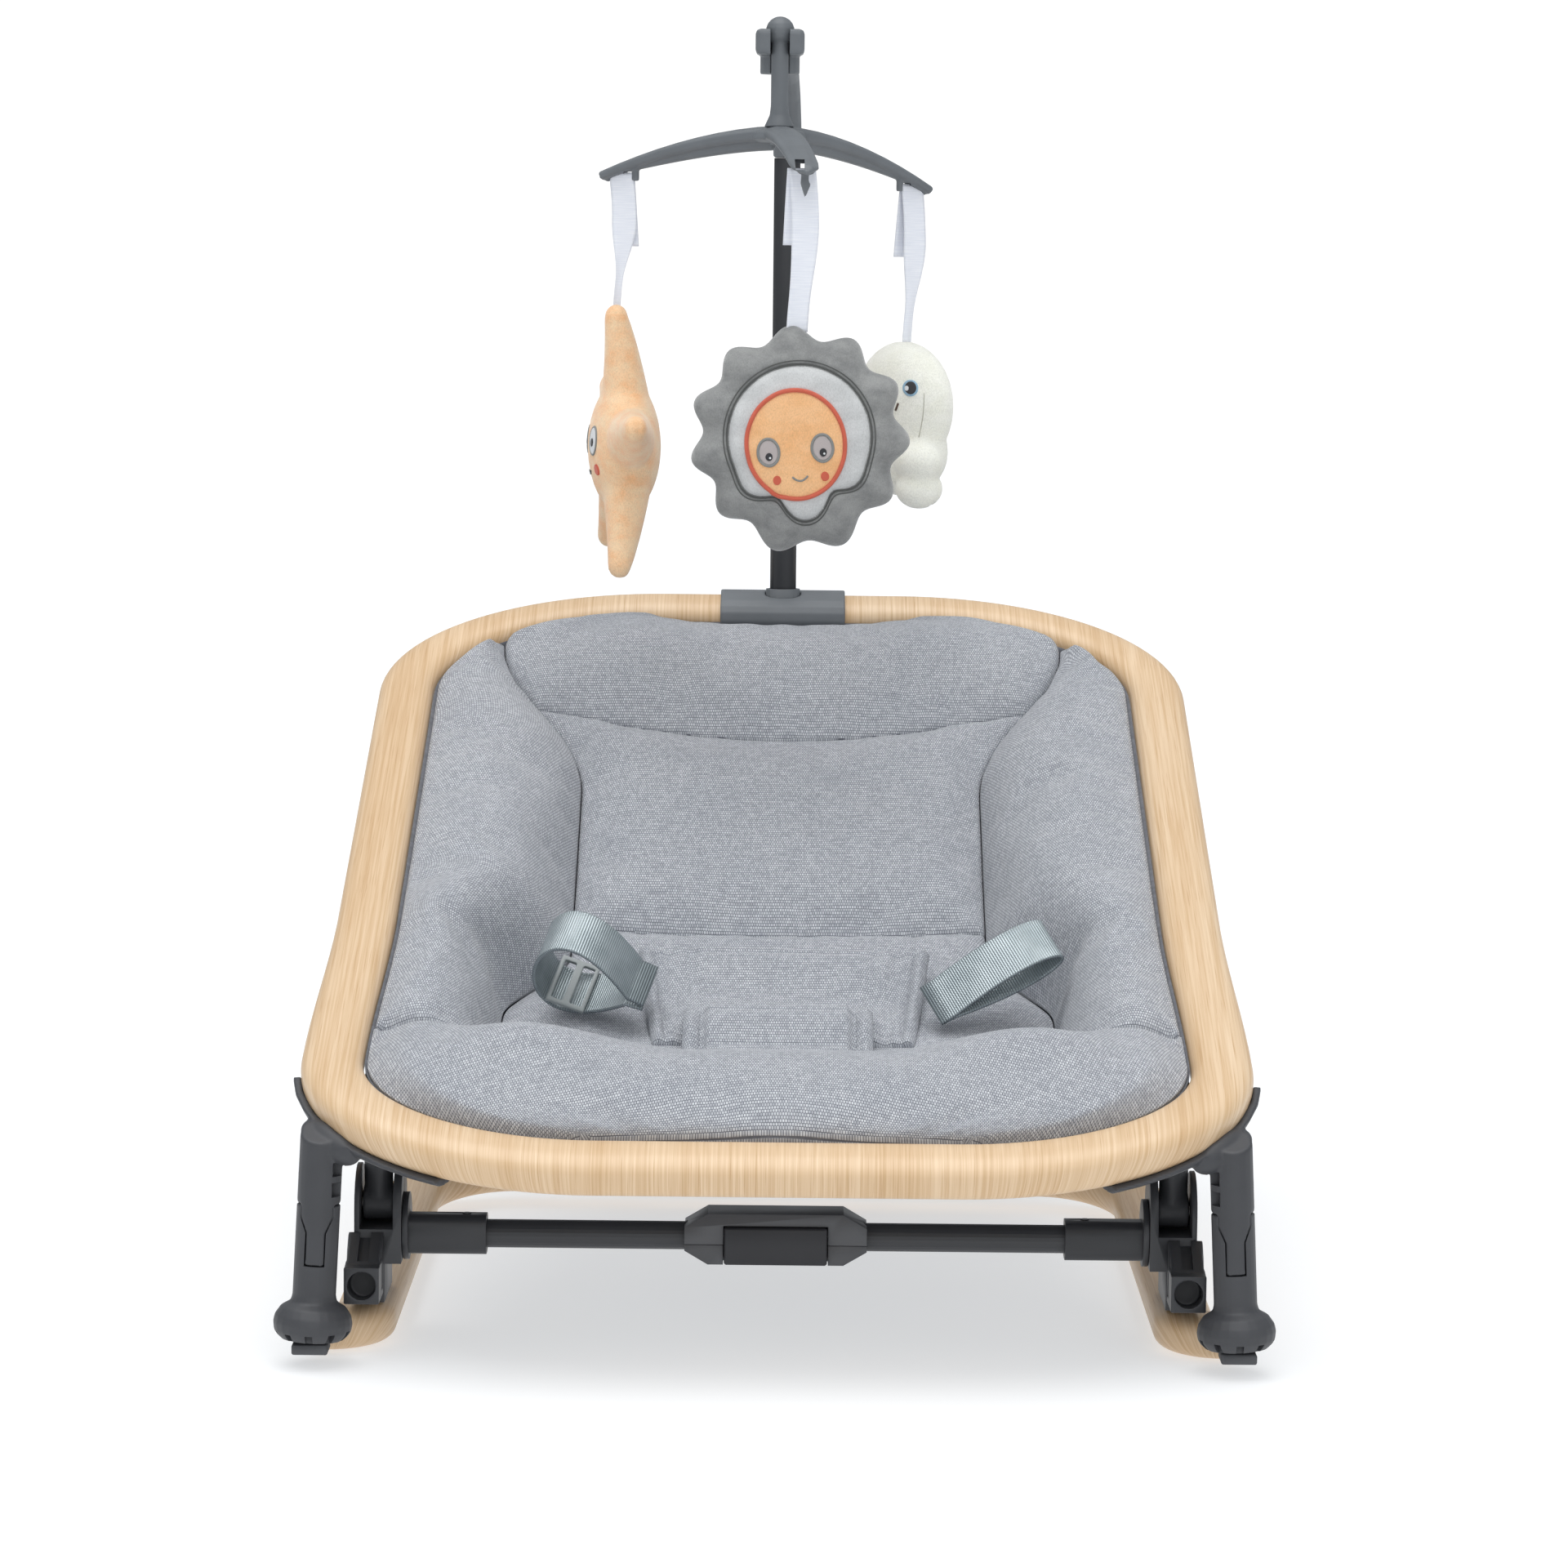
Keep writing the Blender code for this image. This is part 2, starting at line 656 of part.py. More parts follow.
def housing_block(name, inset, collection=PARTS):
    """The six-sided housing block, or the space inside it when inset is given."""
    low, high = HOUSING_BOTTOM + inset, HOUSING_TOP - inset
    middle = (low + high) / 2
    shoulder = HOUSING_SHOULDER - inset * 0.6
    outline = [
        (-HOUSING_HALF + inset, middle - 0.0065),
        (-shoulder, low),
        (shoulder, low),
        (HOUSING_HALF - inset, middle - 0.0065),
        (HOUSING_HALF - inset, middle + 0.0065),
        (shoulder, high),
        (-shoulder, high),
        (-HOUSING_HALF + inset, middle + 0.0065),
    ]
    bm = bmesh.new()
    face = bm.faces.new([bm.verts.new((x, HOUSING_FRONT + inset, z)) for x, z in outline])
    grown = bmesh.ops.extrude_face_region(bm, geom=[face])
    for item in grown["geom"]:
        if isinstance(item, bmesh.types.BMVert):
            item.co.y = HOUSING_BACK - inset
    return mesh_object(name, bm, collection)


def make_housing():
    cavity = housing_block("housing_cavity", WALL, CUTTERS)
    window = box(
        "button_window",
        (-BUTTON_HALF - 0.0005, HOUSING_FRONT - 0.01, HOUSING_BOTTOM - 0.01),
        (BUTTON_HALF + 0.0005, HOUSING_FRONT + 0.0112, BUTTON_TOP + 0.0005),
        collection=CUTTERS,
    )
    ends = bar_point(-HOUSING_HALF - 0.0100), bar_point(HOUSING_HALF + 0.0100)
    tube_hole = cylinder("housing_tube_hole", *ends, BAR_RADIUS + GAP, 24, CUTTERS)
    for half, low, high in (("upper", 0.0, PARTING_Z + 0.00015), ("lower", PARTING_Z - 0.00015, 0.2)):
        shell = housing_block("release_housing_" + half, 0.0)
        away = box("not_" + half, (-HUB_INNER, RING_FRONT.y, low), (HUB_INNER, 0, high), collection=CUTTERS)
        boolean(shell, cavity)
        boolean(shell, window)
        boolean(shell, tube_hole)
        boolean(shell, away)
        finish(made_mesh(shell), "dark_plastic")


def make_button(press):
    front = HOUSING_FRONT - BUTTON_PROUD
    button = box(
        "release_button",
        (-BUTTON_HALF, front, HOUSING_BOTTOM + 0.0002),
        (BUTTON_HALF, front + 0.0090, BUTTON_TOP),
        bevel=0.0012,
    )
    finish(button, "dark_plastic", press)

    spring_turns, spring_radius, steps = 4, 0.0036, 10
    start, length = front + 0.0094, HOUSING_BACK - WALL - 0.0004 - (front + 0.0094)
    wire = 0.0005
    path = []
    for i in range(spring_turns * steps + 1):
        angle = 2 * math.pi * i / steps
        along = start + wire + (length - 2 * wire) * i / (spring_turns * steps)
        path.append((spring_radius * math.cos(angle), along, BAR_Z + spring_radius * math.sin(angle)))
    curve = poly_curve("button_spring", path)
    curve.bevel_depth = wire
    curve.bevel_resolution = 0
    curve.use_fill_caps = True
    spring = made_mesh(link(bpy.data.objects.new("button_spring", curve), PARTS))
    finish(spring, "steel")


def make_lock_rods():
    for side, sign in SIDES.items():
        start, end = bar_point(sign * ROD_INNER_END), bar_point(sign * (HUB_INNER - 0.0010))
        rod = cylinder("lock_rod_" + side, start, end, ROD_RADIUS, 12)
        finish(rod, "steel", joint_empty("lock_slide_" + side, start))


# ---- top bracket and toy bar --------------------------------------------------------------
def make_top_bracket(seat):
    half = 0.0405
    wall = 0.0028
    profile = section(TUBE_HALF_WIDTH + wall, TUBE_HALF_HEIGHT + wall, 3.0)
    bracket = swept(
        "top_bracket",
        [(-half, RING_LENGTH), (half, RING_LENGTH)],
        profile,
        flat=True,
        matrix=SEAT_MATRIX,
    )
    boolean(bracket, ring_solid("top_bracket_ring_space", GAP, CUTTERS))
    low, high = (-0.1, RING_LENGTH - 0.05, -0.05), (0.1, RING_LENGTH + 0.05, -0.0080)
    below = box("top_bracket_open_bottom", low, high, collection=CUTTERS)
    below.matrix_world = SEAT_MATRIX @ below.matrix_basis
    boolean(bracket, below)
    boolean(bracket, pole_cutter("bracket_pole_hole", 0.0030))
    finish(made_mesh(bracket), "grey_plastic", seat)

    bush = pole_cutter("pole_bush", 0.0026)
    CUTTERS.objects.unlink(bush)
    link(bush, PARTS)
    bush.hide_render = False
    bush.display_type = "TEXTURED"
    bush.location.z += 0.0004
    boolean(bush, pole_cutter("bush_hole", 0.0004))
    over = box("bush_top_cut", (-0.05, 0.30, 0.3715), (0.05, 0.36, 0.45), collection=CUTTERS)
    boolean(bush, over)
    finish(made_mesh(bush), "grey_plastic", seat)


def bezier(points, t):
    """A point on the Bezier curve of any order through de Casteljau's steps."""
    points = [Vector(p) for p in points]
    while len(points) > 1:
        points = [a.lerp(b, t) for a, b in zip(points, points[1:])]
    return points[0]


def arm_path(count=12):
    """The upper arm's centreline, up from the pole and over to the clip."""
    start = (0, POLE_Y, POLE_TOP + 0.0016)
    handles = ((0, POLE_Y, 0.7180), (HANGER.x, 0.2450, 0.7270), (HANGER.x, 0.1900, 0.7080))
    end = (HANGER.x, 0.1500, 0.7040)
    return [bezier((start, *handles, end), i / (count - 1)) for i in range(count)]


def make_toy_bar(bar):
    bm = bmesh.new()
    face = bm.faces.new([bm.verts.new((x, y, 0)) for x, y in pole_section()])
    grown = bmesh.ops.extrude_face_region(bm, geom=[face])
    for item in grown["geom"]:
        if isinstance(item, bmesh.types.BMVert):
            item.co.z = POLE_TOP - POLE_BOTTOM
    pole = mesh_object("toy_bar_pole", bm)
    pole.location = (0, POLE_Y, POLE_BOTTOM)
    finish(pole, "pole", bar)

    path = arm_path()
    scales = [1 - 0.25 * i / (len(path) - 1) for i in range(len(path))]
    arm = arm_sweep("toy_bar_arm", path, scales)
    finish(arm, "grey_plastic", bar)

    x, y, z = HANGER
    ears = (x - 0.0148, y - 0.0120, z - 0.0146), (x + 0.0148, y + 0.0170, z + 0.0010)
    clip = box("hanger_clip", *ears, bevel=0.0030)
    collar = cylinder("clip_collar", (x, y + 0.0120, z - 0.0255), (x, y + 0.0120, z - 0.0080), 0.0120, 20)
    boolean(clip, collar, "UNION")
    below, above = z - 0.0500, z + 0.0200
    boolean(clip, cylinder("clip_rod_slot", (x, y, below), (x, y, above), 0.0060, 20, CUTTERS))
    mouth = (x - 0.0058, y - 0.0300, below), (x + 0.0058, y, above)
    boolean(clip, box("clip_mouth", *mouth, collection=CUTTERS))
    bm = bmesh.new()
    bmesh.ops.create_uvsphere(bm, u_segments=20, v_segments=12, radius=BALL_RADIUS + 0.0005)
    seat_ball = mesh_object("clip_ball_seat", bm, CUTTERS)
    seat_ball.location = HANGER
    boolean(clip, seat_ball)
    boolean(clip, arm_sweep("clip_arm_space", path, [s * 1.06 for s in scales], CUTTERS))
    finish(made_mesh(clip), "grey_plastic", bar)


def arm_sweep(name, path, scales, collection=PARTS):
    """The upper arm: a flat oval that keeps its width across X while its path bends forward."""
    bm = bmesh.new()
    rings = []
    outline = section(POLE_HALF_WIDTH * 1.08, POLE_HALF_DEPTH * 1.15, 2.4, 12)
    for i, spot in enumerate(path):
        before, after = path[max(i - 1, 0)], path[min(i + 1, len(path) - 1)]
        along = (after - before).normalized()
        across = Vector((1, 0, 0))
        depth = along.cross(across).normalized()
        points = [spot + (across * a + depth * d) * scales[i] for a, d in outline]
        rings.append([bm.verts.new(point) for point in points])
    for low, high in zip(rings, rings[1:]):
        bmesh.ops.bridge_loops(bm, edges=loop_edges(bm, low) + loop_edges(bm, high))
    bm.faces.new(rings[0])
    bm.faces.new(rings[-1])
    return mesh_object(name, bm, collection)


def loop_edges(bm, ring):
    edges = []
    for first, second in zip(ring, ring[1:] + ring[:1]):
        edges.append(bm.edges.get((first, second)) or bm.edges.new((first, second)))
    return edges


def arm_drop(index, reach):
    """How far an arm's centreline has come down at this distance from the rod."""
    return 0.0010 + SPIDER_DROPS[index] * (reach / SPIDER_REACH) ** 1.8


def make_hanger(hanger):
    z = HANGER.z
    profile = [(0, BALL_RADIUS)]
    for degrees in range(70, -51, -20):
        angle = math.radians(degrees)
        profile.append((BALL_RADIUS * math.cos(angle), BALL_RADIUS * math.sin(angle)))
    profile += [(0.0049, -0.0080), (0.0049, -0.0400), (0.0064, ROD_BOTTOM - z), (0, ROD_BOTTOM - z)]
    rod = turned("hanger_rod", profile, 20)
    rod.location = HANGER
    finish(rod, "grey_plastic", hanger)

    hub = turned(
        "hanger_spider",
        [(0, 0.0030), (0.0080, 0.0028), (0.0150, 0.0005), (0.0170, -0.0040), (0.0120, -0.0060), (0, -0.0062)],
        20,
    )
    hub.location = (HANGER.x, HANGER.y, SPIDER_Z)
    hub = made_mesh(hub)
    outline = section(0.0070, 0.0040, 2.6, 12)
    taper = [1.35 - 0.60 * k / 9 for k in range(10)]
    for i in range(3):
        turn = math.radians(-90 + 120 * i) + HANGER_TURN
        path = []
        for step in range(10):
            reach = SPIDER_REACH * step / 9
            path.append((reach, 0, -arm_drop(i, reach)))
        place = Matrix.Translation((HANGER.x, HANGER.y, SPIDER_Z)) @ Matrix.Rotation(turn, 4, "Z")
        arm = swept(f"spider_arm_{i}", path, outline, matrix=place, scales=taper)
        boolean(hub, arm, "UNION")
        hook = place @ Vector((HOOK_REACH, 0, -arm_drop(i, HOOK_REACH)))
        peg = cylinder(f"spider_hook_{i}", hook, hook - Vector((0, 0, 0.0100)), 0.0022, 10)
        boolean(hub, peg, "UNION")
    finish(made_mesh(hub), "grey_plastic", hanger)


def hook_point(index):
    turn = math.radians(-90 + 120 * index) + HANGER_TURN
    return Vector(
        (
            HANGER.x + HOOK_REACH * math.cos(turn),
            HANGER.y + HOOK_REACH * math.sin(turn),
            SPIDER_Z - arm_drop(index, HOOK_REACH) - 0.0112,
        )
    )


def plush(name, reach_at, half_thickness, place, turn):
    """A stuffed shape: a sphere whose outline follows reach_at(angle) and which is flattened."""
    bm = bmesh.new()
    bmesh.ops.create_uvsphere(bm, u_segments=32, v_segments=10, radius=1)
    for vert in bm.verts:
        flat = math.hypot(vert.co.x, vert.co.y)
        angle = math.atan2(vert.co.y, vert.co.x)
        reach = reach_at(angle) * flat**0.75 if flat > 1e-6 else 0
        vert.co = Vector((reach * math.cos(angle), -half_thickness * vert.co.z, reach * math.sin(angle)))
    obj = mesh_object(name, bm)
    obj.location = place
    obj.rotation_euler = (0, 0, turn)
    return obj


def star_reach(angle):
    """A soft five-pointed star, hung a little off its top point."""
    point = 0.5 + 0.5 * math.cos(5 * (angle - math.pi / 2 + STAR_LEAN))
    return 0.046 + 0.044 * point**1.4


def lion_reach(angle):
    """A scalloped mane, a little longer at the chin."""
    chin = max(0.0, -math.sin(angle)) ** 6
    return 0.0620 + 0.0034 * math.cos(11 * (angle - math.pi / 2)) + 0.006 * chin


def elephant_reach(angle):
    """A round body with two feet."""
    feet = sum(math.exp(-((math.degrees(angle) + foot) / 18) ** 2) for foot in (60, 125))
    return 0.0500 + 0.0080 * feet


STAR_LEAN = math.radians(8)
TOYS = {
    "lion": (0, lion_reach, 0.0190, 0.4830, 0.0, "grey_velour"),
    "elephant": (1, elephant_reach, 0.0220, 0.4860, -1.0, "cream_velour"),
    "star": (2, star_reach, 0.0230, 0.4700, -1.45, "orange_velour"),
}


def make_toys(hanger):
    for name, (index, reach_at, half_thickness, height, turn, colour) in TOYS.items():
        hook = hook_point(index)
        swing = joint_empty(name + "_swing", hook, hanger)
        body = Vector((hook.x, hook.y, height))
        toy = plush(name + "_plush", reach_at, half_thickness, body, turn)
        finish(toy, colour, swing)
        top = height + reach_at(math.pi / 2) + 0.0008
        ribbon = box(name + "_ribbon", (-0.0080, -0.0008, top - hook.z), (0.0080, 0.0008, 0))
        ribbon.location = (hook.x, hook.y, (top + hook.z) / 2)
        ribbon.rotation_euler = (0, 0, turn * 0.3)
        finish(ribbon, "ribbon", swing)


# ---- padding ------------------------------------------------------------------------------
CENTRE_PROFILE = (
    (0.018, 0.004),
    (0.050, 0.020),
    (0.090, 0.018),
    (0.122, 0.007),
    (0.152, -0.019),
    (0.190, -0.037),
    (0.250, -0.047),
    (0.330, -0.049),
    (0.400, -0.040),
    (0.480, -0.024),
    (0.560, -0.006),
    (0.620, 0.009),
    (0.655, 0.013),
    (0.684, 0.002),
)


def along_profile(s, profile=CENTRE_PROFILE):
    """Height along the middle: a smooth curve through the profile's points."""
    s = min(max(s, profile[0][0]), profile[-1][0])
    for k in range(len(profile) - 1):
        if s <= profile[k + 1][0]:
            break

    def slope(i):
        before, after = profile[max(i - 1, 0)], profile[min(i + 1, len(profile) - 1)]
        return (after[1] - before[1]) / (after[0] - before[0])

    (s0, n0), (s1, n1) = profile[k], profile[k + 1]
    length = s1 - s0
    t = (s - s0) / length
    rise = slope(k) * length * (t**3 - 2 * t**2 + t) + slope(k + 1) * length * (t**3 - t**2)
    return n0 + (n1 - n0) * smooth(t) + rise


def bolster_edge(s):
    """Half the width between the bolsters, wider at the seat and towards the rear corners."""
    narrow = 0.123
    seat = 0.036 * smooth((0.340 - s) / 0.080)
    head = 0.055 * smooth((s - 0.500) / 0.140)
    return narrow + seat + head


def shoulder(x, s, edge):
    """How far the front roll rises on each side of its middle."""
    across = smooth((abs(x) - 0.050) / 0.090) * smooth((edge - abs(x)) / 0.085)
    return ROLL_SHOULDER * across * smooth((s - 0.060) / 0.050) * smooth((0.152 - s) / 0.018)


def top_height(x, s):
    """Height of the padding's top: the middle's profile, lifted to the ring at the sides."""
    edge = ring_half_width(s, TUBE_HALF_WIDTH + PAD_SIDE_CLEARANCE)
    return bare_height(x, s, edge) + shoulder(x, s, edge)


def bare_height(x, s, edge):
    """The padding's height before the roll's shoulders: a middle panel between two raised bolsters."""
    inner = min(bolster_edge(s), edge - 0.020)
    middle = along_profile(s)
    share = (abs(x) - inner) / (edge - inner)
    if share <= 0:
        return middle - 0.004 * (1 - (x / inner) ** 2) * smooth((s - 0.1) / 0.1)
    crest = 0.014 if middle < 0.014 else middle
    rise = middle + (crest - middle) * math.sin(min(share / 0.62, 1) * math.pi / 2)
    return rise if share < 0.62 else crest - (crest - 0.004) * smooth((share - 0.62) / 0.38)


def hammock_height(x, s):
    """Height of the smooth hollow under the padding, hung from the ring's inner side."""
    edge = ring_half_width(s, TUBE_HALF_WIDTH + PAD_SIDE_CLEARANCE)
    rim = -0.0080
    deepest = along_profile(s) - PAD_FILL
    return rim + (deepest - rim) * (1 - min(abs(x) / edge, 1) ** 6)


def pad(name, outline_at, columns, rows, parent, top=top_height, bottom=hammock_height, colour="knit"):
    """A pad: a grid laid out by outline_at, raised to its top and extruded down to its bottom."""
    bm = bmesh.new()
    bmesh.ops.create_grid(bm, x_segments=columns, y_segments=rows, size=1)
    for vert in bm.verts:
        x, s = outline_at(vert.co.x, (vert.co.y + 1) / 2)
        vert.co = Vector((x, s, top(x, s)))
    grown = bmesh.ops.extrude_face_region(bm, geom=list(bm.faces))
    for item in grown["geom"]:
        if isinstance(item, bmesh.types.BMVert):
            item.co.z = bottom(item.co.x, item.co.y)
    return finish(mesh_object(name, bm, matrix=SEAT_MATRIX), colour, parent)


def make_padding(seat):
    side = TUBE_HALF_WIDTH + PAD_SIDE_CLEARANCE
    first, last = side + 0.0005, RING_LENGTH - side - 0.0005
    roll_end, seat_end, back_end = 0.140, 0.365, 0.556

    def across_ring(u, v, low, high):
        s = low + (high - low) * v
        return math.sin(u * math.pi / 2) * ring_half_width(s, side), s

    def middle(u, v, low, high):
        s = low + (high - low) * v
        return u * (bolster_edge(s) - SEAM_GAP), s

    def head(u, v):
        low = back_end + SEAM_GAP + 0.022 * u * u
        s = low + (last - low) * v
        return u * min(ring_half_width(s, side), bolster_edge(s) - SEAM_GAP), s

    def back(u, v):
        high = back_end - SEAM_GAP + 0.022 * u * u
        return middle(u, v, seat_end + SEAM_GAP, high)

    pad("front_roll", lambda u, v: across_ring(u, v, first, roll_end), 12, 6, seat)
    pad("seat_pad", lambda u, v: middle(u, v, roll_end + 2 * SEAM_GAP, seat_end - SEAM_GAP), 8, 7, seat)
    pad("back_pad", back, 8, 5, seat)
    pad("head_pad", head, 10, 4, seat)

    def bolster(u, v):
        s = roll_end + 2 * SEAM_GAP + (0.640 - roll_end - 2 * SEAM_GAP) * v
        inner, outer = bolster_edge(s) + SEAM_GAP, ring_half_width(s, side)
        return inner + (outer - inner) * (u + 1) / 2, s

    right = pad("bolster_right", bolster, 5, 12, seat)
    finish(mirrored(right, "bolster_left"), "knit", seat)

    def sling_top(x, s):
        return min(hammock_height(x, s + step) for step in (-0.006, 0, 0.006)) - SLING_GAP

    def sling_bottom(x, s):
        return sling_top(x, s) - SLING_THICKNESS

    def whole(u, v):
        return across_ring(u, v, first, last)

    pad("hammock_sling", whole, 16, 40, seat, sling_top, sling_bottom, "sling")
    make_harness(seat)


def make_harness(seat):
    """The waist pad, the crotch pad lying on it, a strap loop on each side and the left one's adjuster."""
    def layer(lift):
        return lambda x, s: top_height(x, s) + lift

    def waist(u, v):
        return 0.0840 * u + 0.0030, 0.222 + 0.086 * v

    def crotch(u, v):
        return 0.0540 * u, 0.176 + 0.052 * v

    pad("waist_pad", waist, 6, 4, seat, layer(0.0120), layer(0.0035))
    pad("crotch_pad", crotch, 4, 4, seat, layer(0.0200), layer(0.0150))

    for side, sign in SIDES.items():
        reach, rise, lean, turn, base = STRAP_LOOPS[side]
        place = loop_frame(sign, lean, turn, base)
        curve = poly_curve("webbing_" + side, webbing_loop(reach, rise), flat=True)
        curve.extrude = WEBBING_WIDTH / 2
        strap = link(bpy.data.objects.new("webbing_" + side, curve), PARTS)
        strap.matrix_world = SEAT_MATRIX @ place
        strap = made_mesh(strap)
        thick = strap.modifiers.new("woven_thickness", "SOLIDIFY")
        thick.thickness = 0.0016
        thick.offset = 0
        finish(strap, "webbing", seat)
        if side == "left":
            make_adjuster(seat, place, reach, rise)


def make_adjuster(seat, place, reach, rise):
    """A flat buckle lying on the loop's lower strand, with its middle bar across the strap."""
    low, high = (-0.0115, -0.0012, -0.0165), (0.0115, 0.0012, 0.0165)
    slider = box("strap_adjuster_left", low, high)
    for name, first in (("outer", 0.0022), ("inner", -0.0090)):
        corners = (first, -0.01, -0.0136), (first + 0.0068, 0.01, 0.0136)
        boolean(slider, box(f"{name}_slot", *corners, collection=CUTTERS))
    slider = made_mesh(slider)
    slider.matrix_world = SEAT_MATRIX @ place @ Matrix.Translation((reach * 0.62, ADJUSTER_LIFT - rise / 2, 0))
    finish(slider, "buckle", seat)


def loop_frame(sign, lean, turn, base):
    """Where a strap loop stands: its X along the loop, Y up and Z along the strap's width."""
    across = Vector((-sign * lean, 0.871, 0.406)).normalized()
    along = Vector((sign, 0, 0))
    along = (along - across * along.dot(across)).normalized()
    up = along.cross(across) * sign
    along, up = along * math.cos(turn) + up * math.sin(turn), up * math.cos(turn) - along * math.sin(turn)
    frame = Matrix((along, up, along.cross(up))).transposed().to_4x4()
    return Matrix.Translation((sign * base[0], base[1], base[2])) @ frame


def webbing_loop(reach, rise):
    """A strap's loop seen edge on: a teardrop out from the pad, round and back along the seat."""
    points = []
    for i in range(17):
        angle = math.radians(32 + 296 * i / 16)
        along = 0.5 - 0.5 * math.cos(angle)
        up = math.sin(angle) * math.sin(angle / 2) / 0.77
        points.append((reach * along, -rise / 2 * up))
    return points


# ---- assembly -----------------------------------------------------------------------------
def main():
    seat = joint_empty("seat_pivot", (0, PIVOT_Y, PIVOT_Z))
    press = joint_empty("button_slide", (0, HOUSING_FRONT, BAR_Z))
    bar = joint_empty("toy_bar_socket", (0, POLE_Y, POLE_BOTTOM), seat)
    hanger = joint_empty("hanger_pivot", HANGER, bar)
    make_base()
    make_hubs()
    make_crossbar()
    make_housing()
    make_button(press)
    make_lock_rods()
    make_ring(seat)
    make_brackets(seat)
    make_top_bracket(seat)
    make_padding(seat)
    make_toy_bar(bar)
    make_hanger(hanger)
    make_toys(hanger)
    for obj in list(PARTS.objects) + list(CUTTERS.objects):
        if obj.parent is None:
            obj.location += ORIGIN_SHIFT


main()
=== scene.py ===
import json
import math

import bmesh
import bpy
import numpy as np
from mathutils import Matrix, Vector, noise

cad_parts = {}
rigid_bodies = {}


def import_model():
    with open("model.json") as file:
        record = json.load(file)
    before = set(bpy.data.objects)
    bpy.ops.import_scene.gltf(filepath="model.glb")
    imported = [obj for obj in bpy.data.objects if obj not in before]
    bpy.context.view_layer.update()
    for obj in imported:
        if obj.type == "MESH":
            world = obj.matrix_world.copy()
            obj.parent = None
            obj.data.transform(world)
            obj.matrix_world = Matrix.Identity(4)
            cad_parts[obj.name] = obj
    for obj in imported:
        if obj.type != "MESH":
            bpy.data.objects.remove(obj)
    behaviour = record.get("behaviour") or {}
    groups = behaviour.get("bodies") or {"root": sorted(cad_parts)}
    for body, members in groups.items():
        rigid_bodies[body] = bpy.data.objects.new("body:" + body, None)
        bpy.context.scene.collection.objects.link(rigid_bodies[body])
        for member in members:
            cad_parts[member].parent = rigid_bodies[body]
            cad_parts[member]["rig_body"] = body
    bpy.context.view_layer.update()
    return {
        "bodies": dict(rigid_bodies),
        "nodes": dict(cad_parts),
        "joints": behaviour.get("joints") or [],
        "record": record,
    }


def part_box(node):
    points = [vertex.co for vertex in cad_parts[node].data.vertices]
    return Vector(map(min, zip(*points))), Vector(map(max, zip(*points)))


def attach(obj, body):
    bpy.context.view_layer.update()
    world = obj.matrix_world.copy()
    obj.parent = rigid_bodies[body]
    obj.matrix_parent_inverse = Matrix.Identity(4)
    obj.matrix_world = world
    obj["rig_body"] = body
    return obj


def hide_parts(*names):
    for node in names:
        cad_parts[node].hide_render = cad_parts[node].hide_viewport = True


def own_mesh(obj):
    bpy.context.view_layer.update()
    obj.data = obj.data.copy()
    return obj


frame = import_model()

# ---- places and sizes, in metres, from the frame and the part's own dimensions ------------------------
SLOPE = math.radians(20)
TUBE_HALF_WIDTH = 0.0170
TUBE_HALF_HEIGHT = 0.0118
TUBE_POWER = 2.6
RING_FRONT = Vector((0, -0.3314, 0.1165))
SEAT = Matrix.Translation(RING_FRONT) @ Matrix.Rotation(SLOPE, 4, "X")
RING_LENGTH = 0.702
RING_HALF_WIDTH = 0.236
RING_FRONT_HALF_WIDTH = 0.2415
FRONT_CORNER = (0.145, 0.105)
REAR_CORNER = (0.160, 0.130)
PAD_INSET = TUBE_HALF_WIDTH + 0.0022
PAD_FILL = 0.0160
ROLL_END = 0.140
ROLL_SHOULDER = 0.0130
RIM_HEIGHT = 0.0075
SEAT_END = 0.365
BACK_END = 0.556
BOLSTER_END = 0.640
LEG_TOP = Vector((0.2423, -0.2874, 0.1210))
LEG_FOOT = Vector((0.2478, -0.2914, 0.0030))
LEG_RADIUS = 0.01165
POLE_Y = 0.3286
HANGER = Vector((-0.0050, 0.1286, 0.7260))
SPIDER_Z = 0.6650
SPIDER_REACH = 0.1170
SPIDER_DROPS = (0.0230, 0.0320, 0.0255)
HOOK_REACH = 0.1000
PEG_REACH = 0.0945
LUG_REACH = 0.1130
LEG_SPLIT = 0.0845
HANGER_TURN = math.radians(8.0)
RUNNER_X = 0.2238
REAR_TUBE_Y = 0.1586
REAR_BEND = 0.0620
NOSE_Y = -0.2494
NOSE_BEND = 0.0200
NOSE_END_X = 0.2480
REAR_RISE = 0.0080
NOSE_RISE = 0.0003
FLAT_FROM = -0.1014
FLAT_TO = 0.0686
SIDES = {"left": -1, "right": 1}
NODES = frame["nodes"]


def body_of(node):
    return NODES[node]["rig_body"]


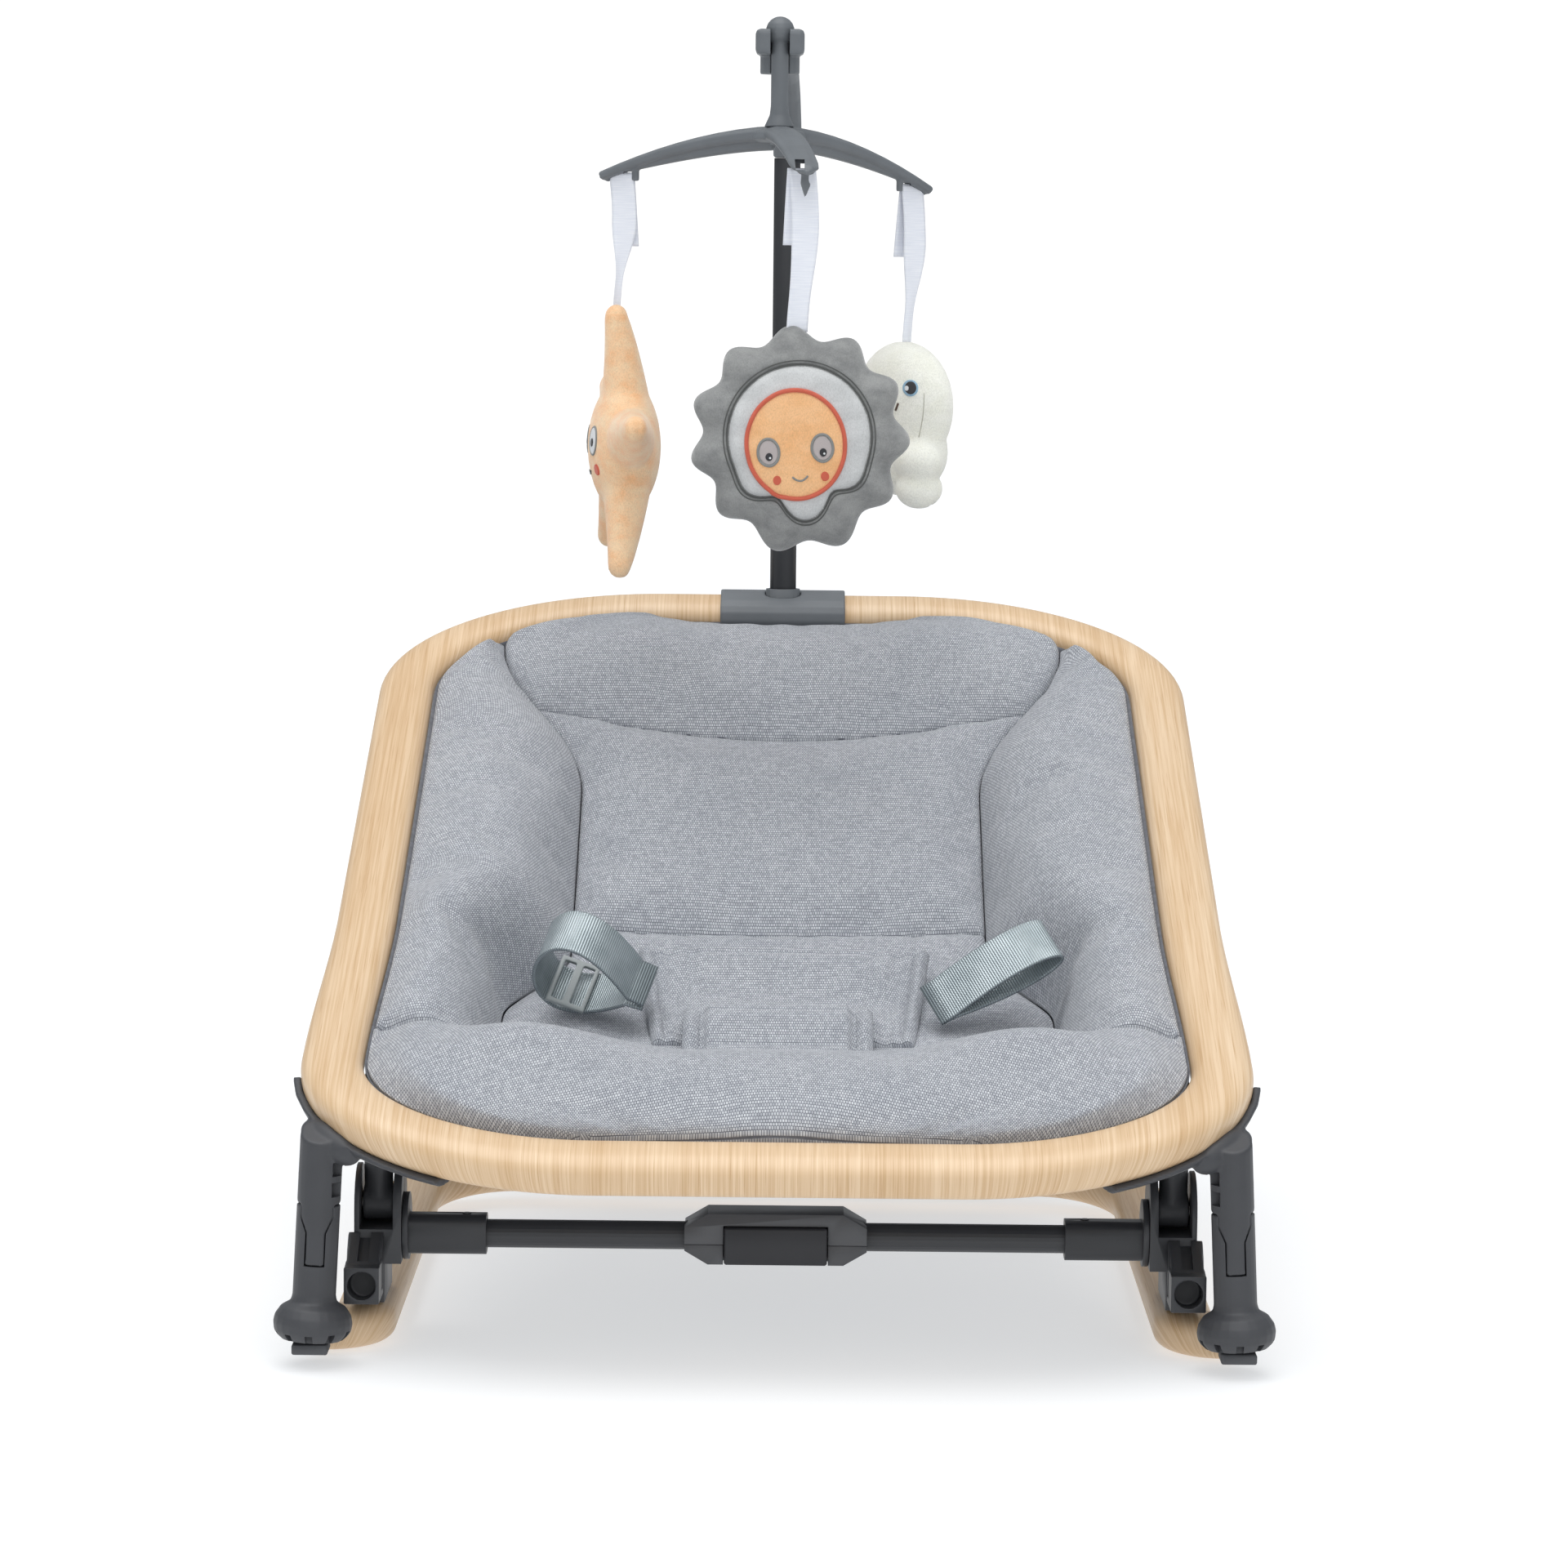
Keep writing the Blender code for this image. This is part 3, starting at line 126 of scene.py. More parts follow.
# ---- shader helpers -----------------------------------------------------------------------------------
class Shader:
    """A Principled material and short calls for the nodes that feed it."""

    def __init__(self, name, roughness=0.5, metallic=0.0, **sockets):
        self.material = bpy.data.materials.new(name)
        self.material.use_nodes = True
        self.tree = self.material.node_tree
        self.shader = self.tree.nodes["Principled BSDF"]
        self.shader.inputs["Roughness"].default_value = roughness
        self.shader.inputs["Metallic"].default_value = metallic
        for socket, value in sockets.items():
            self.shader.inputs[socket.replace("_", " ")].default_value = value

    def node(self, kind, inputs=None, **settings):
        made = self.tree.nodes.new("ShaderNode" + kind)
        for key, value in settings.items():
            setattr(made, key, value)
        for key, value in (inputs or {}).items():
            if isinstance(value, bpy.types.NodeSocket):
                self.tree.links.new(value, made.inputs[key])
            else:
                made.inputs[key].default_value = value
        return made

    def link(self, output, socket):
        self.tree.links.new(output, self.shader.inputs[socket])

    def scaled(self, scale, uv=True, rotation=(0, 0, 0)):
        """Coordinates in metres, from the UV map or the object, times scale."""
        source = self.node("TexCoord").outputs["UV" if uv else "Object"]
        mapping = self.node("Mapping", {"Vector": source, "Scale": scale, "Rotation": rotation})
        return mapping.outputs["Vector"]

    def noise(self, vector, detail=3.0, roughness=0.55):
        inputs = {"Vector": vector, "Scale": 1.0, "Detail": detail, "Roughness": roughness}
        return self.node("TexNoise", inputs).outputs["Fac"]

    def wave(self, vector, scale, direction, distortion=0.0):
        inputs = {"Vector": vector, "Scale": scale, "Distortion": distortion}
        return self.node("TexWave", inputs, bands_direction=direction).outputs["Fac"]

    def ramp(self, factor, *stops):
        """A colour ramp of (position, colour) stops; a single number stands for a grey."""
        made = self.node("ValToRGB", {"Fac": factor})
        elements = made.color_ramp.elements
        while len(elements) < len(stops):
            elements.new(0.5)
        for element, (position, colour) in zip(elements, stops):
            element.position = position
            element.color = (colour,) * 3 + (1,) if isinstance(colour, float) else (*colour, 1)
        return made.outputs["Color"]

    def mix(self, factor, first, second, blend="MIX"):
        made = self.node("Mix", data_type="RGBA", blend_type=blend)
        for socket, value in ((0, factor), (6, first), (7, second)):
            if isinstance(value, bpy.types.NodeSocket):
                self.tree.links.new(value, made.inputs[socket])
            else:
                made.inputs[socket].default_value = (*value, 1) if isinstance(value, tuple) else value
        return made.outputs[2]

    def bump(self, height, distance, strength=1.0, after=None):
        inputs = {"Height": height, "Distance": distance, "Strength": strength}
        if after:
            inputs["Normal"] = after
        return self.node("Bump", inputs).outputs["Normal"]


# ---- materials ----------------------------------------------------------------------------------------
def wood_film():
    """Pale maple: fine fibres, darker pores and slow bands, along the UV map's second axis."""
    made = Shader("wood_film", roughness=0.42, Coat_Weight=0.15, Coat_Roughness=0.25)
    bands = made.noise(made.scaled((26, 1.1, 1)), 2.0)
    fibres = made.noise(made.scaled((520, 7.0, 1)), 3.0, 0.6)
    pores = made.noise(made.scaled((1500, 22.0, 1)), 2.0, 0.5)
    base = made.ramp(bands, (0.30, (0.80, 0.615, 0.420)), (0.70, (0.69, 0.490, 0.295)))
    streaks = made.ramp(fibres, (0.36, (0.80, 0.71, 0.58)), (0.62, (1.0, 1.0, 1.0)))
    grained = made.mix(0.85, base, streaks, "MULTIPLY")
    specks = made.ramp(pores, (0.30, (0.72, 0.58, 0.42)), (0.40, (1.0, 1.0, 1.0)))
    made.link(made.mix(0.6, grained, specks, "MULTIPLY"), "Base Color")
    made.link(made.bump(fibres, 0.00012, 0.5), "Normal")
    return made.material


def moulded_plastic(name, colour, roughness=0.48):
    """Moulded plastic: a fine spark texture, slightly uneven gloss, and a painted highlight that makes convex
    edges paler.
    """
    made = Shader(name, roughness=roughness, Specular_IOR_Level=0.42)
    grain = made.noise(made.scaled((2600, 2600, 2600), uv=False), 2.0)
    patches = made.noise(made.scaled((38, 38, 38), uv=False), 3.0)
    # Painted highlight: convex edges, found by pointiness, are mixed towards a paler tone.
    edges = made.node("NewGeometry").outputs["Pointiness"]
    pale = tuple(c * 1.35 + 0.01 for c in colour)
    darker, lighter = (tuple(c * tone for c in colour) for tone in (0.93, 1.07))
    body = made.ramp(patches, (0.3, darker), (0.7, lighter))
    edge_highlight_mask = made.ramp(edges, (0.52, 0.0), (0.62, 0.55))
    made.link(made.mix(edge_highlight_mask, body, pale), "Base Color")
    uneven = made.node("MapRange", {"Value": patches, "To Min": roughness - 0.05, "To Max": roughness + 0.07})
    made.link(uneven.outputs["Result"], "Roughness")
    made.link(made.bump(grain, 0.00006, 0.45), "Normal")
    return made.material


def knit():
    """Melange jersey: staggered stitches, two yarn shades, and darker gaps between the stitches."""
    made = Shader("knit", roughness=0.95, Sheen_Weight=0.25, Sheen_Roughness=0.5, Specular_IOR_Level=0.2)
    stitch = made.node(
        "TexBrick",
        {
            "Vector": made.scaled((1000, 1000, 1000)),
            "Color1": (0.60, 0.62, 0.655, 1),
            "Color2": (0.40, 0.415, 0.455, 1),
            "Mortar": (0.150, 0.160, 0.188, 1),
            "Scale": 1.0,
            "Mortar Size": 0.27,
            "Mortar Smooth": 0.7,
            "Bias": -0.1,
            "Brick Width": 1.45,
            "Row Height": 2.05,
        },
        offset=0.5,
    )
    yarn = made.noise(made.scaled((75, 620, 1)), 3.0, 0.65)
    yarn_tone = made.ramp(yarn, (0.32, (0.86, 0.865, 0.88)), (0.66, (1.12, 1.12, 1.11)))
    wide = made.noise(made.scaled((18, 24, 1)), 2.0)
    wide_tone = made.ramp(wide, (0.3, (0.95, 0.955, 0.96)), (0.7, (1.04, 1.035, 1.03)))
    shaded = made.mix(1.0, stitch.outputs["Color"], yarn_tone, "MULTIPLY")
    made.link(made.mix(1.0, shaded, wide_tone, "MULTIPLY"), "Base Color")
    gaps = made.node("Invert", {"Color": stitch.outputs["Fac"]}).outputs["Color"]
    fuzz = made.noise(made.scaled((3200, 3200, 1)), 2.0)
    made.link(made.bump(fuzz, 0.0001, 0.5, made.bump(gaps, 0.0004, 0.7)), "Normal")
    return made.material


def woven_sling():
    made = Shader("sling", roughness=0.9, Sheen_Weight=0.2, Specular_IOR_Level=0.2)
    weave = made.node("TexChecker", {"Vector": made.scaled((900, 900, 900)), "Scale": 1.0}).outputs["Fac"]
    tone = made.noise(made.scaled((30, 240, 1)), 3.0)
    made.link(made.ramp(tone, (0.3, (0.10, 0.105, 0.12)), (0.7, (0.16, 0.165, 0.185))), "Base Color")
    made.link(made.bump(weave, 0.0002, 0.5), "Normal")
    return made.material


def strap_webbing():
    """Ribbed strap: fine ribs across its width, a slanting twill, and the shine of nylon."""
    made = Shader("webbing", roughness=0.27, metallic=0.35, Specular_IOR_Level=0.8, Anisotropic=0.4)
    ribs = made.wave(made.scaled((1, 1, 1)), 210.0, "Y", 0.3)
    twill = made.wave(made.scaled((1, 1, 1)), 320.0, "DIAGONAL", 0.2)
    tone = made.noise(made.scaled((60, 60, 1)), 2.0)
    base = made.ramp(tone, (0.3, (0.31, 0.365, 0.385)), (0.7, (0.42, 0.48, 0.50)))
    lines = made.ramp(ribs, (0.1, 0.70), (0.7, 1.05))
    made.link(made.mix(1.0, base, lines, "MULTIPLY"), "Base Color")
    made.link(made.bump(twill, 0.00012, 0.5, made.bump(ribs, 0.0003, 0.8)), "Normal")
    return made.material


def satin():
    made = Shader("ribbon", roughness=0.30, Sheen_Weight=0.1, Specular_IOR_Level=0.6)
    threads = made.noise(made.scaled((60, 1800, 1)), 2.0)
    made.link(made.ramp(threads, (0.3, (0.78, 0.81, 0.89)), (0.7, (0.90, 0.92, 0.97))), "Base Color")
    made.link(made.bump(threads, 0.00006, 0.6), "Normal")
    return made.material


def velour(name, colour, shade, pile=0.0007):
    """Short pile: brushed patches that lie lighter or darker, over a fine fur bump."""
    made = Shader(name, roughness=0.95, Sheen_Weight=0.55, Sheen_Roughness=0.35, Specular_IOR_Level=0.15)
    brushed = made.noise(made.scaled((70, 70, 110), uv=False), 4.0, 0.6)
    fur = made.noise(made.scaled((1500, 1500, 900), uv=False), 3.0, 0.7)
    base = made.ramp(brushed, (0.32, shade), (0.62, colour))
    depth = made.ramp(fur, (0.30, 0.80), (0.60, 1.0))
    made.link(made.mix(1.0, base, depth, "MULTIPLY"), "Base Color")
    made.link(made.bump(fur, pile, 0.6), "Normal")
    return made.material


def thread(name, colour):
    """Embroidery or sewing thread: close slanting strands."""
    made = Shader(name, roughness=0.6, Sheen_Weight=0.2)
    strands = made.wave(made.scaled((1, 1, 1), uv=False), 900.0, "DIAGONAL")
    dark = tuple(c * 0.7 for c in colour)
    made.link(made.ramp(strands, (0.2, dark), (0.7, colour)), "Base Color")
    made.link(made.bump(strands, 0.0002, 0.5), "Normal")
    return made.material


def drawn_steel():
    made = Shader("steel", roughness=0.32, metallic=1.0)
    lines = made.noise(made.scaled((40, 4000, 4000), uv=False), 2.0)
    made.link(made.ramp(lines, (0.3, 0.48), (0.7, 0.60)), "Base Color")
    return made.material


WOOD = wood_film()
GREY = moulded_plastic("grey_plastic", (0.052, 0.054, 0.060))
PALE_GREY = moulded_plastic("pale_grey_plastic", (0.142, 0.155, 0.168))
DARK = moulded_plastic("dark_plastic", (0.042, 0.044, 0.049), 0.40)
BUTTON = moulded_plastic("button_plastic", (0.026, 0.027, 0.032), 0.38)
HOUSING = moulded_plastic("housing_plastic", (0.082, 0.085, 0.092), 0.40)
POLE = moulded_plastic("pole", (0.030, 0.032, 0.036), 0.40)
RUBBER = moulded_plastic("rubber", (0.085, 0.088, 0.095), 0.80)
STEEL = drawn_steel()
KNIT = knit()
SLING = woven_sling()
WEBBING = strap_webbing()
STRAP_EDGE = thread("strap_edge", (0.075, 0.085, 0.090))
SATIN = satin()
ORANGE_VELOUR = velour("orange_velour", (1.0, 0.73, 0.47), (0.99, 0.58, 0.31))
GREY_VELOUR = velour("grey_velour", (0.34, 0.345, 0.34), (0.24, 0.245, 0.245))
PALE_VELOUR = velour("pale_velour", (0.66, 0.67, 0.67), (0.58, 0.59, 0.59), 0.0004)
CREAM_VELOUR = velour("cream_velour", (0.98, 0.98, 0.90), (0.93, 0.93, 0.83))
RED_THREAD = thread("red_thread", (0.72, 0.13, 0.07))
DARK_THREAD = thread("dark_thread", (0.10, 0.105, 0.10))
BLUE_THREAD = thread("blue_thread", (0.34, 0.55, 0.72))
SEWING_THREAD = thread("sewing_thread", (0.42, 0.44, 0.48))
BLACK_THREAD = thread("black_thread", (0.025, 0.025, 0.03))
BROWN_THREAD = thread("brown_thread", (0.10, 0.055, 0.035))
GREY_THREAD = thread("grey_thread", (0.28, 0.29, 0.28))
WHITE_THREAD = thread("white_thread", (0.86, 0.88, 0.90))
MAUVE_THREAD = thread("mauve_thread", (0.56, 0.50, 0.49))
CREAM_SHADE = thread("cream_shade", (0.62, 0.61, 0.52))
FACE_VELOUR = velour("face_velour", (0.95, 0.57, 0.30), (0.90, 0.50, 0.24), 0.0004)
BUCKLE = moulded_plastic("buckle", (0.33, 0.36, 0.36), 0.35)


# ---- mesh helpers -------------------------------------------------------------------------------------
def piece(name, mesh_or_bm, body, material, replaces=(), smooth=True):
    """A finished piece in the row frame, riding on its body."""
    mesh = mesh_or_bm
    if isinstance(mesh_or_bm, bmesh.types.BMesh):
        mesh = bpy.data.meshes.new(name)
        mesh_or_bm.to_mesh(mesh)
        mesh_or_bm.free()
    mesh.name = name
    obj = bpy.data.objects.new(name, mesh)
    bpy.context.scene.collection.objects.link(obj)
    mesh.materials.clear()
    mesh.materials.append(material)
    if smooth:
        mesh.shade_smooth()
    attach(obj, body)
    if replaces:
        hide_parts(*replaces)
    return obj


def apply_modifiers(obj):
    """The object's mesh becomes what its modifiers make of it."""
    bpy.context.view_layer.update()
    graph = bpy.context.evaluated_depsgraph_get()
    mesh = bpy.data.meshes.new_from_object(obj.evaluated_get(graph))
    obj.modifiers.clear()
    old = obj.data
    obj.data = mesh
    bpy.data.meshes.remove(old)
    return obj


def rounded_skin(obj, voxel, rounds):
    """One closed skin over everything in the object, with its edges and corners softened."""
    remesh = obj.modifiers.new("skin", "REMESH")
    remesh.mode = "VOXEL"
    remesh.voxel_size = voxel
    soften = obj.modifiers.new("soften", "SMOOTH")
    soften.factor = 0.5
    soften.iterations = rounds
    apply_modifiers(obj)


def creased(obj, degrees):
    """Smooth shading that breaks at edges sharper than this."""
    obj.data.shade_smooth()
    obj.data.set_sharp_from_angle(angle=math.radians(degrees))


def gathered(shapes):
    """The shapes' meshes in one bmesh; the shapes themselves go."""
    bm = bmesh.new()
    add_shapes(bm, shapes)
    return bm


def add_shapes(bm, shapes):
    for shape in shapes:
        bm.from_mesh(shape.data)
        bpy.data.objects.remove(shape)


def bridge(bm, rings, closed=False):
    """Faces between each ring of points and the next, and round to the first one when closed."""
    for i in range(len(rings) if closed else len(rings) - 1):
        first, second = rings[i], rings[(i + 1) % len(rings)]
        for k in range(len(first)):
            m = (k + 1) % len(first)
            bm.faces.new((first[k], first[m], second[m], second[k]))


def capped(bm, rings):
    """Closes a tube's two ends and turns its faces outwards."""
    for ring in (rings[0], rings[-1]):
        bm.faces.new(ring)
    bmesh.ops.recalc_face_normals(bm, faces=bm.faces)


def loose(name, bm):
    """A helper object that is joined or cut away before the end."""
    mesh = bpy.data.meshes.new(name)
    bm.to_mesh(mesh)
    bm.free()
    obj = bpy.data.objects.new(name, mesh)
    bpy.context.scene.collection.objects.link(obj)
    return obj


def cad_bmesh(node):
    """A CAD node's mesh with its split edges welded and its face normals turned outwards."""
    bm = bmesh.new()
    bm.from_mesh(NODES[node].data)
    bmesh.ops.remove_doubles(bm, verts=bm.verts, dist=0.00002)
    bmesh.ops.recalc_face_normals(bm, faces=bm.faces)
    return bm


def cut(obj, cutters, operation="DIFFERENCE"):
    for cutter in cutters:
        modifier = obj.modifiers.new("cut", "BOOLEAN")
        modifier.operation = operation
        modifier.solver = "EXACT"
        modifier.object = cutter
    apply_modifiers(obj)
    for cutter in cutters:
        bpy.data.objects.remove(cutter)
    return obj


def moulded(node, material, voxel=0.0009, rounds=6, extra=()):
    """A CAD node joined with extra shapes, with its edges and inside corners rounded as in a mould."""
    bm = cad_bmesh(node)
    add_shapes(bm, extra)
    obj = piece(node + "_skin", bm, body_of(node), material, (node,))
    rounded_skin(obj, voxel, rounds)
    obj.data.shade_smooth()
    return obj


def bevelled(node, material, width=0.0007, segments=3):
    """A CAD node with its sharp edges rounded over."""
    bm = cad_bmesh(node)
    bmesh.ops.dissolve_limit(bm, angle_limit=math.radians(1), verts=bm.verts, edges=bm.edges)
    obj = piece(node + "_skin", bm, body_of(node), material, (node,), smooth=False)
    rounded = obj.modifiers.new("rounded", "BEVEL")
    rounded.width = width
    rounded.segments = segments
    rounded.angle_limit = math.radians(28)
    rounded.harden_normals = True
    apply_modifiers(obj)
    creased(obj, 40)
    return obj


def block(low, high, turn=None):
    bm = bmesh.new()
    bmesh.ops.create_cube(bm, size=1)
    low, high = Vector(low), Vector(high)
    for vert in bm.verts:
        vert.co = (low + high) / 2 + Vector(c * s for c, s in zip(vert.co, high - low))
    if turn:
        bmesh.ops.transform(bm, matrix=turn, verts=bm.verts)
    return loose("block", bm)


def rod(start, end, radius, segments=32, end_radius=None):
    start, end = Vector(start), Vector(end)
    bm = bmesh.new()
    bmesh.ops.create_cone(
        bm,
        cap_ends=True,
        segments=segments,
        radius1=radius,
        radius2=radius if end_radius is None else end_radius,
        depth=(end - start).length,
    )
    turn = Vector((0, 0, 1)).rotation_difference(end - start).to_matrix().to_4x4()
    bmesh.ops.transform(bm, matrix=Matrix.Translation((start + end) / 2) @ turn, verts=bm.verts)
    return loose("rod", bm)


def ellipsoid(centre, radii, segments=32):
    bm = bmesh.new()
    bmesh.ops.create_uvsphere(bm, u_segments=segments, v_segments=segments // 2, radius=1)
    place = Matrix.Translation(centre) @ Matrix.Diagonal((*radii, 1))
    bmesh.ops.transform(bm, matrix=place, verts=bm.verts)
    return loose("ellipsoid", bm)


def smooth(t):
    t = min(max(t, 0.0), 1.0)
    return t * t * (3 - 2 * t)


def superellipse(half_width, half_height, power, count):
    points = []
    for i in range(count):
        angle = -math.pi / 2 + 2 * math.pi * i / count
        across, up = math.cos(angle), math.sin(angle)
        points.append(
            (
                math.copysign(abs(across) ** (2 / power), across) * half_width,
                math.copysign(abs(up) ** (2 / power), up) * half_height,
            )
        )
    return points


def grain_tube(path, closed, section_count=48):
    """A tube of the ring's section along a flat path of (x, y, z), with UVs in metres that unroll it so that
    the grain runs along Y all the way round, as on a piece cut from one board."""
    section = superellipse(TUBE_HALF_WIDTH, TUBE_HALF_HEIGHT, TUBE_POWER, section_count)
    lengths = [0.0]
    for i in range(section_count):
        a, b = section[i], section[(i + 1) % section_count]
        lengths.append(lengths[-1] + math.dist(a, b))
    half = lengths[-1] / 2
    bm = bmesh.new()
    uv = bm.loops.layers.uv.new("UVMap")
    rings, normals = [], []
    count = len(path)
    for i, spot in enumerate(path):
        before = Vector(path[i - 1] if closed or i else path[0])
        after = Vector(path[(i + 1) % count] if closed or i < count - 1 else path[-1])
        along = (after - before).normalized()
        outward = Vector((along.y, -along.x, 0)).normalized()
        up = outward.cross(along)
        rings.append([bm.verts.new(Vector(spot) + outward * a + up * b) for a, b in section])
        normals.append(outward)
    for i in range(count if closed else count - 1):
        k = (i + 1) % count
        for j in range(section_count):
            m = (j + 1) % section_count
            face = bm.faces.new((rings[i][j], rings[i][m], rings[k][m], rings[k][j]))
            corners = ((i, j), (i, j + 1), (k, j + 1), (k, j))
            for loop, (at, around) in zip(face.loops, corners):
                unrolled = half - lengths[around]
                loop[uv].uv = (
                    path[at][0] + normals[at].x * unrolled,
                    path[at][1] + normals[at].y * unrolled,
                )
    if not closed:
        for ring in (rings[0], rings[-1]):
            bm.faces.new(ring)
    bmesh.ops.recalc_face_normals(bm, faces=bm.faces)
    return bm


def resampled(points, closed, step):
    """The same line with points every step metres or so."""
    points = [np.array(p, float) for p in points]
    if closed:
        points.append(points[0])
    made = []
    for a, b in zip(points, points[1:]):
        pieces = max(1, round(float(np.linalg.norm(b - a)) / step))
        made += [a + (b - a) * k / pieces for k in range(pieces)]
    return made if closed else made + [points[-1]]


# ---- the wooden ring and the rocker -------------------------------------------------------------------
def side_half_width(s):
    """Half the ring's centreline width along its sides, a little wider at the front."""
    return RING_FRONT_HALF_WIDTH + (RING_HALF_WIDTH - RING_FRONT_HALF_WIDTH) * smooth((s - 0.105) / 0.165)


def ring_half_width(s, inset=0.0):
    """Half width at s of the ring's outline, moved inwards by inset."""
    (front_x, front_s), (rear_x, rear_s) = FRONT_CORNER, REAR_CORNER
    if s < front_s:
        across = min(max((front_s - s) / (front_s - inset), 0), 1)
        return RING_FRONT_HALF_WIDTH - front_x + (front_x - inset) * math.sqrt(1 - across**2)
    if s > RING_LENGTH - rear_s:
        across = min(max((s - RING_LENGTH + rear_s) / (rear_s - inset), 0), 1)
        return RING_HALF_WIDTH - rear_x + (rear_x - inset) * math.sqrt(1 - across**2)
    return side_half_width(s) - inset


def ring_path(steps=26):
    quarter = math.pi / 2
    (fx, fs), (rx, rs) = FRONT_CORNER, REAR_CORNER
    half = [(0, 0)]
    for i in range(steps + 1):
        angle = quarter * i / steps
        half.append((RING_FRONT_HALF_WIDTH - fx + fx * math.sin(angle), fs - fs * math.cos(angle)))
    for i in range(1, 24):
        s = fs + (RING_LENGTH - rs - fs) * i / 24
        half.append((side_half_width(s), s))
    for i in range(steps + 1):
        angle = quarter * i / steps
        half.append((RING_HALF_WIDTH - rx + rx * math.cos(angle), RING_LENGTH - rs + rs * math.sin(angle)))
    half.append((0, RING_LENGTH))
    loop = half + [(-x, s) for x, s in reversed(half[1:-1])]
    return resampled([(x, s, 0) for x, s in loop], True, 0.008)


def make_wood():
    bm = grain_tube(ring_path(), True)
    bmesh.ops.transform(bm, matrix=SEAT, verts=bm.verts)
    ring = piece("ring_wood", bm, "seat", WOOD, ("seat_ring",))
    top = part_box("toy_bar_pole")[0]
    hole = rod((0, POLE_Y, top.z - 0.02), (0, POLE_Y, top.z + 0.06), 0.0115)
    cut(ring, [hole])
    ring.data.shade_smooth()
    bm = grain_tube(rocker_path(), False)
    piece("rocker_wood", bm, "base", WOOD, ("rocker_frame",))
    for side in SIDES:
        bevelled("runner_plug_" + side, DARK, 0.0009)


def runner_bottom(y):
    if y > FLAT_TO:
        return REAR_RISE * ((y - FLAT_TO) / (REAR_TUBE_Y - FLAT_TO)) ** 2
    if y < FLAT_FROM:
        return NOSE_RISE * ((FLAT_FROM - y) / (FLAT_FROM - NOSE_Y)) ** 2
    return 0.0


def rocker_path(steps=20):
    half = [(NOSE_END_X, NOSE_Y)]
    for i in range(steps + 1):
        angle = -math.pi / 2 - math.pi / 2 * i / steps
        across, back = 1 + math.cos(angle), 1 + math.sin(angle)
        half.append((RUNNER_X + NOSE_BEND * across, NOSE_Y + NOSE_BEND * back))
    front, rear = NOSE_Y + NOSE_BEND, REAR_TUBE_Y - REAR_BEND
    for i in range(1, 30):
        half.append((RUNNER_X, front + (rear - front) * i / 30))
    for i in range(steps + 1):
        angle = math.pi / 2 * i / steps
        centre = (RUNNER_X - REAR_BEND, REAR_TUBE_Y - REAR_BEND)
        half.append((centre[0] + REAR_BEND * math.cos(angle), centre[1] + REAR_BEND * math.sin(angle)))
    half = [(x, y, runner_bottom(y) + TUBE_HALF_HEIGHT) for x, y in half]
    line = half + [(0, REAR_TUBE_Y, half[-1][2])] + [(-x, y, z) for x, y, z in reversed(half)]
    return resampled(line, False, 0.008)


# ---- moulded parts ------------------------------------------------------------------------------------
def leg_point(height):
    """The point on the right leg's axis at a height."""
    return LEG_FOOT.lerp(LEG_TOP, (height - LEG_FOOT.z) / (LEG_TOP.z - LEG_FOOT.z))


def sided(point, sign):
    return Vector((sign * point.x, point.y, point.z))


def slab(points, low, high, place):
    """A polygon drawn in the local X and Z, as thick as low to high in Y."""
    bm = bmesh.new()
    near = [bm.verts.new(place @ Vector((x, low, z))) for x, z in points]
    far = [bm.verts.new(place @ Vector((x, high, z))) for x, z in points]
    bm.faces.new(near)
    bm.faces.new(far)
    for i in range(len(points)):
        m = (i + 1) % len(points)
        bm.faces.new((near[i], near[m], far[m], far[i]))
    bmesh.ops.recalc_face_normals(bm, faces=bm.faces)
    return loose("slab", bm)


def tongue(sign, grow, outer):
    """The spring tongue of the bracket, which fills a notch in the front of the leg sleeve."""
    half = 0.0050 + grow
    points = [
        (-half - 0.0045, 0.0980),
        (-half - 0.0045, LEG_SPLIT - 0.0004),
        (-half, LEG_SPLIT - 0.0110),
        (-half, 0.0560 - grow),
        (half, 0.0560 - grow),
        (half, LEG_SPLIT - 0.0110),
        (half + 0.0045, LEG_SPLIT - 0.0004),
        (half + 0.0045, 0.0980),
    ]
    middle = sided(leg_point(LEG_SPLIT), sign)
    drift = sided(leg_point(0.0560), sign) - middle
    lean = math.atan(drift.x / drift.z)
    place = Matrix.Translation((middle.x, middle.y, 0)) @ Matrix.Rotation(lean, 4, "Y")
    place.translation.x -= math.tan(lean) * LEG_SPLIT
    return slab(points, -outer, -0.0070, place)


def leg_flare(sign):
    """The swelling where the leg's top runs into the bracket's lip, along the ring's corner."""
    along = (SEAT.to_3x3() @ Vector((-0.675 * sign, -0.738, 0))).normalized()
    up = (SEAT.to_3x3() @ Vector((0, 0, 1))).normalized()
    frame = Matrix((along, up.cross(along), up)).transposed().to_4x4()
    flare = ellipsoid((0, 0, 0), (0.0230, 0.0100, 0.0100))
    centre = sided(leg_point(0.1200), sign) + Vector((-0.0045 * sign, 0.0030, 0))
    flare.data.transform(Matrix.Translation(centre) @ frame)
    return flare


def leg_windows(sign):
    """Two dark windows in the leg's inner face, under the bracket."""
    made = []
    for height in (0.0965, 0.1075):
        centre = sided(leg_point(height), sign)
        inner = centre.x - sign * LEG_RADIUS
        left, right = sorted((inner - sign * 0.002, inner + sign * 0.0045))
        low = (left, centre.y - 0.0090, height - 0.0042)
        high = (right, centre.y - 0.0020, height + 0.0036)
        made.append(block(low, high))
    return made


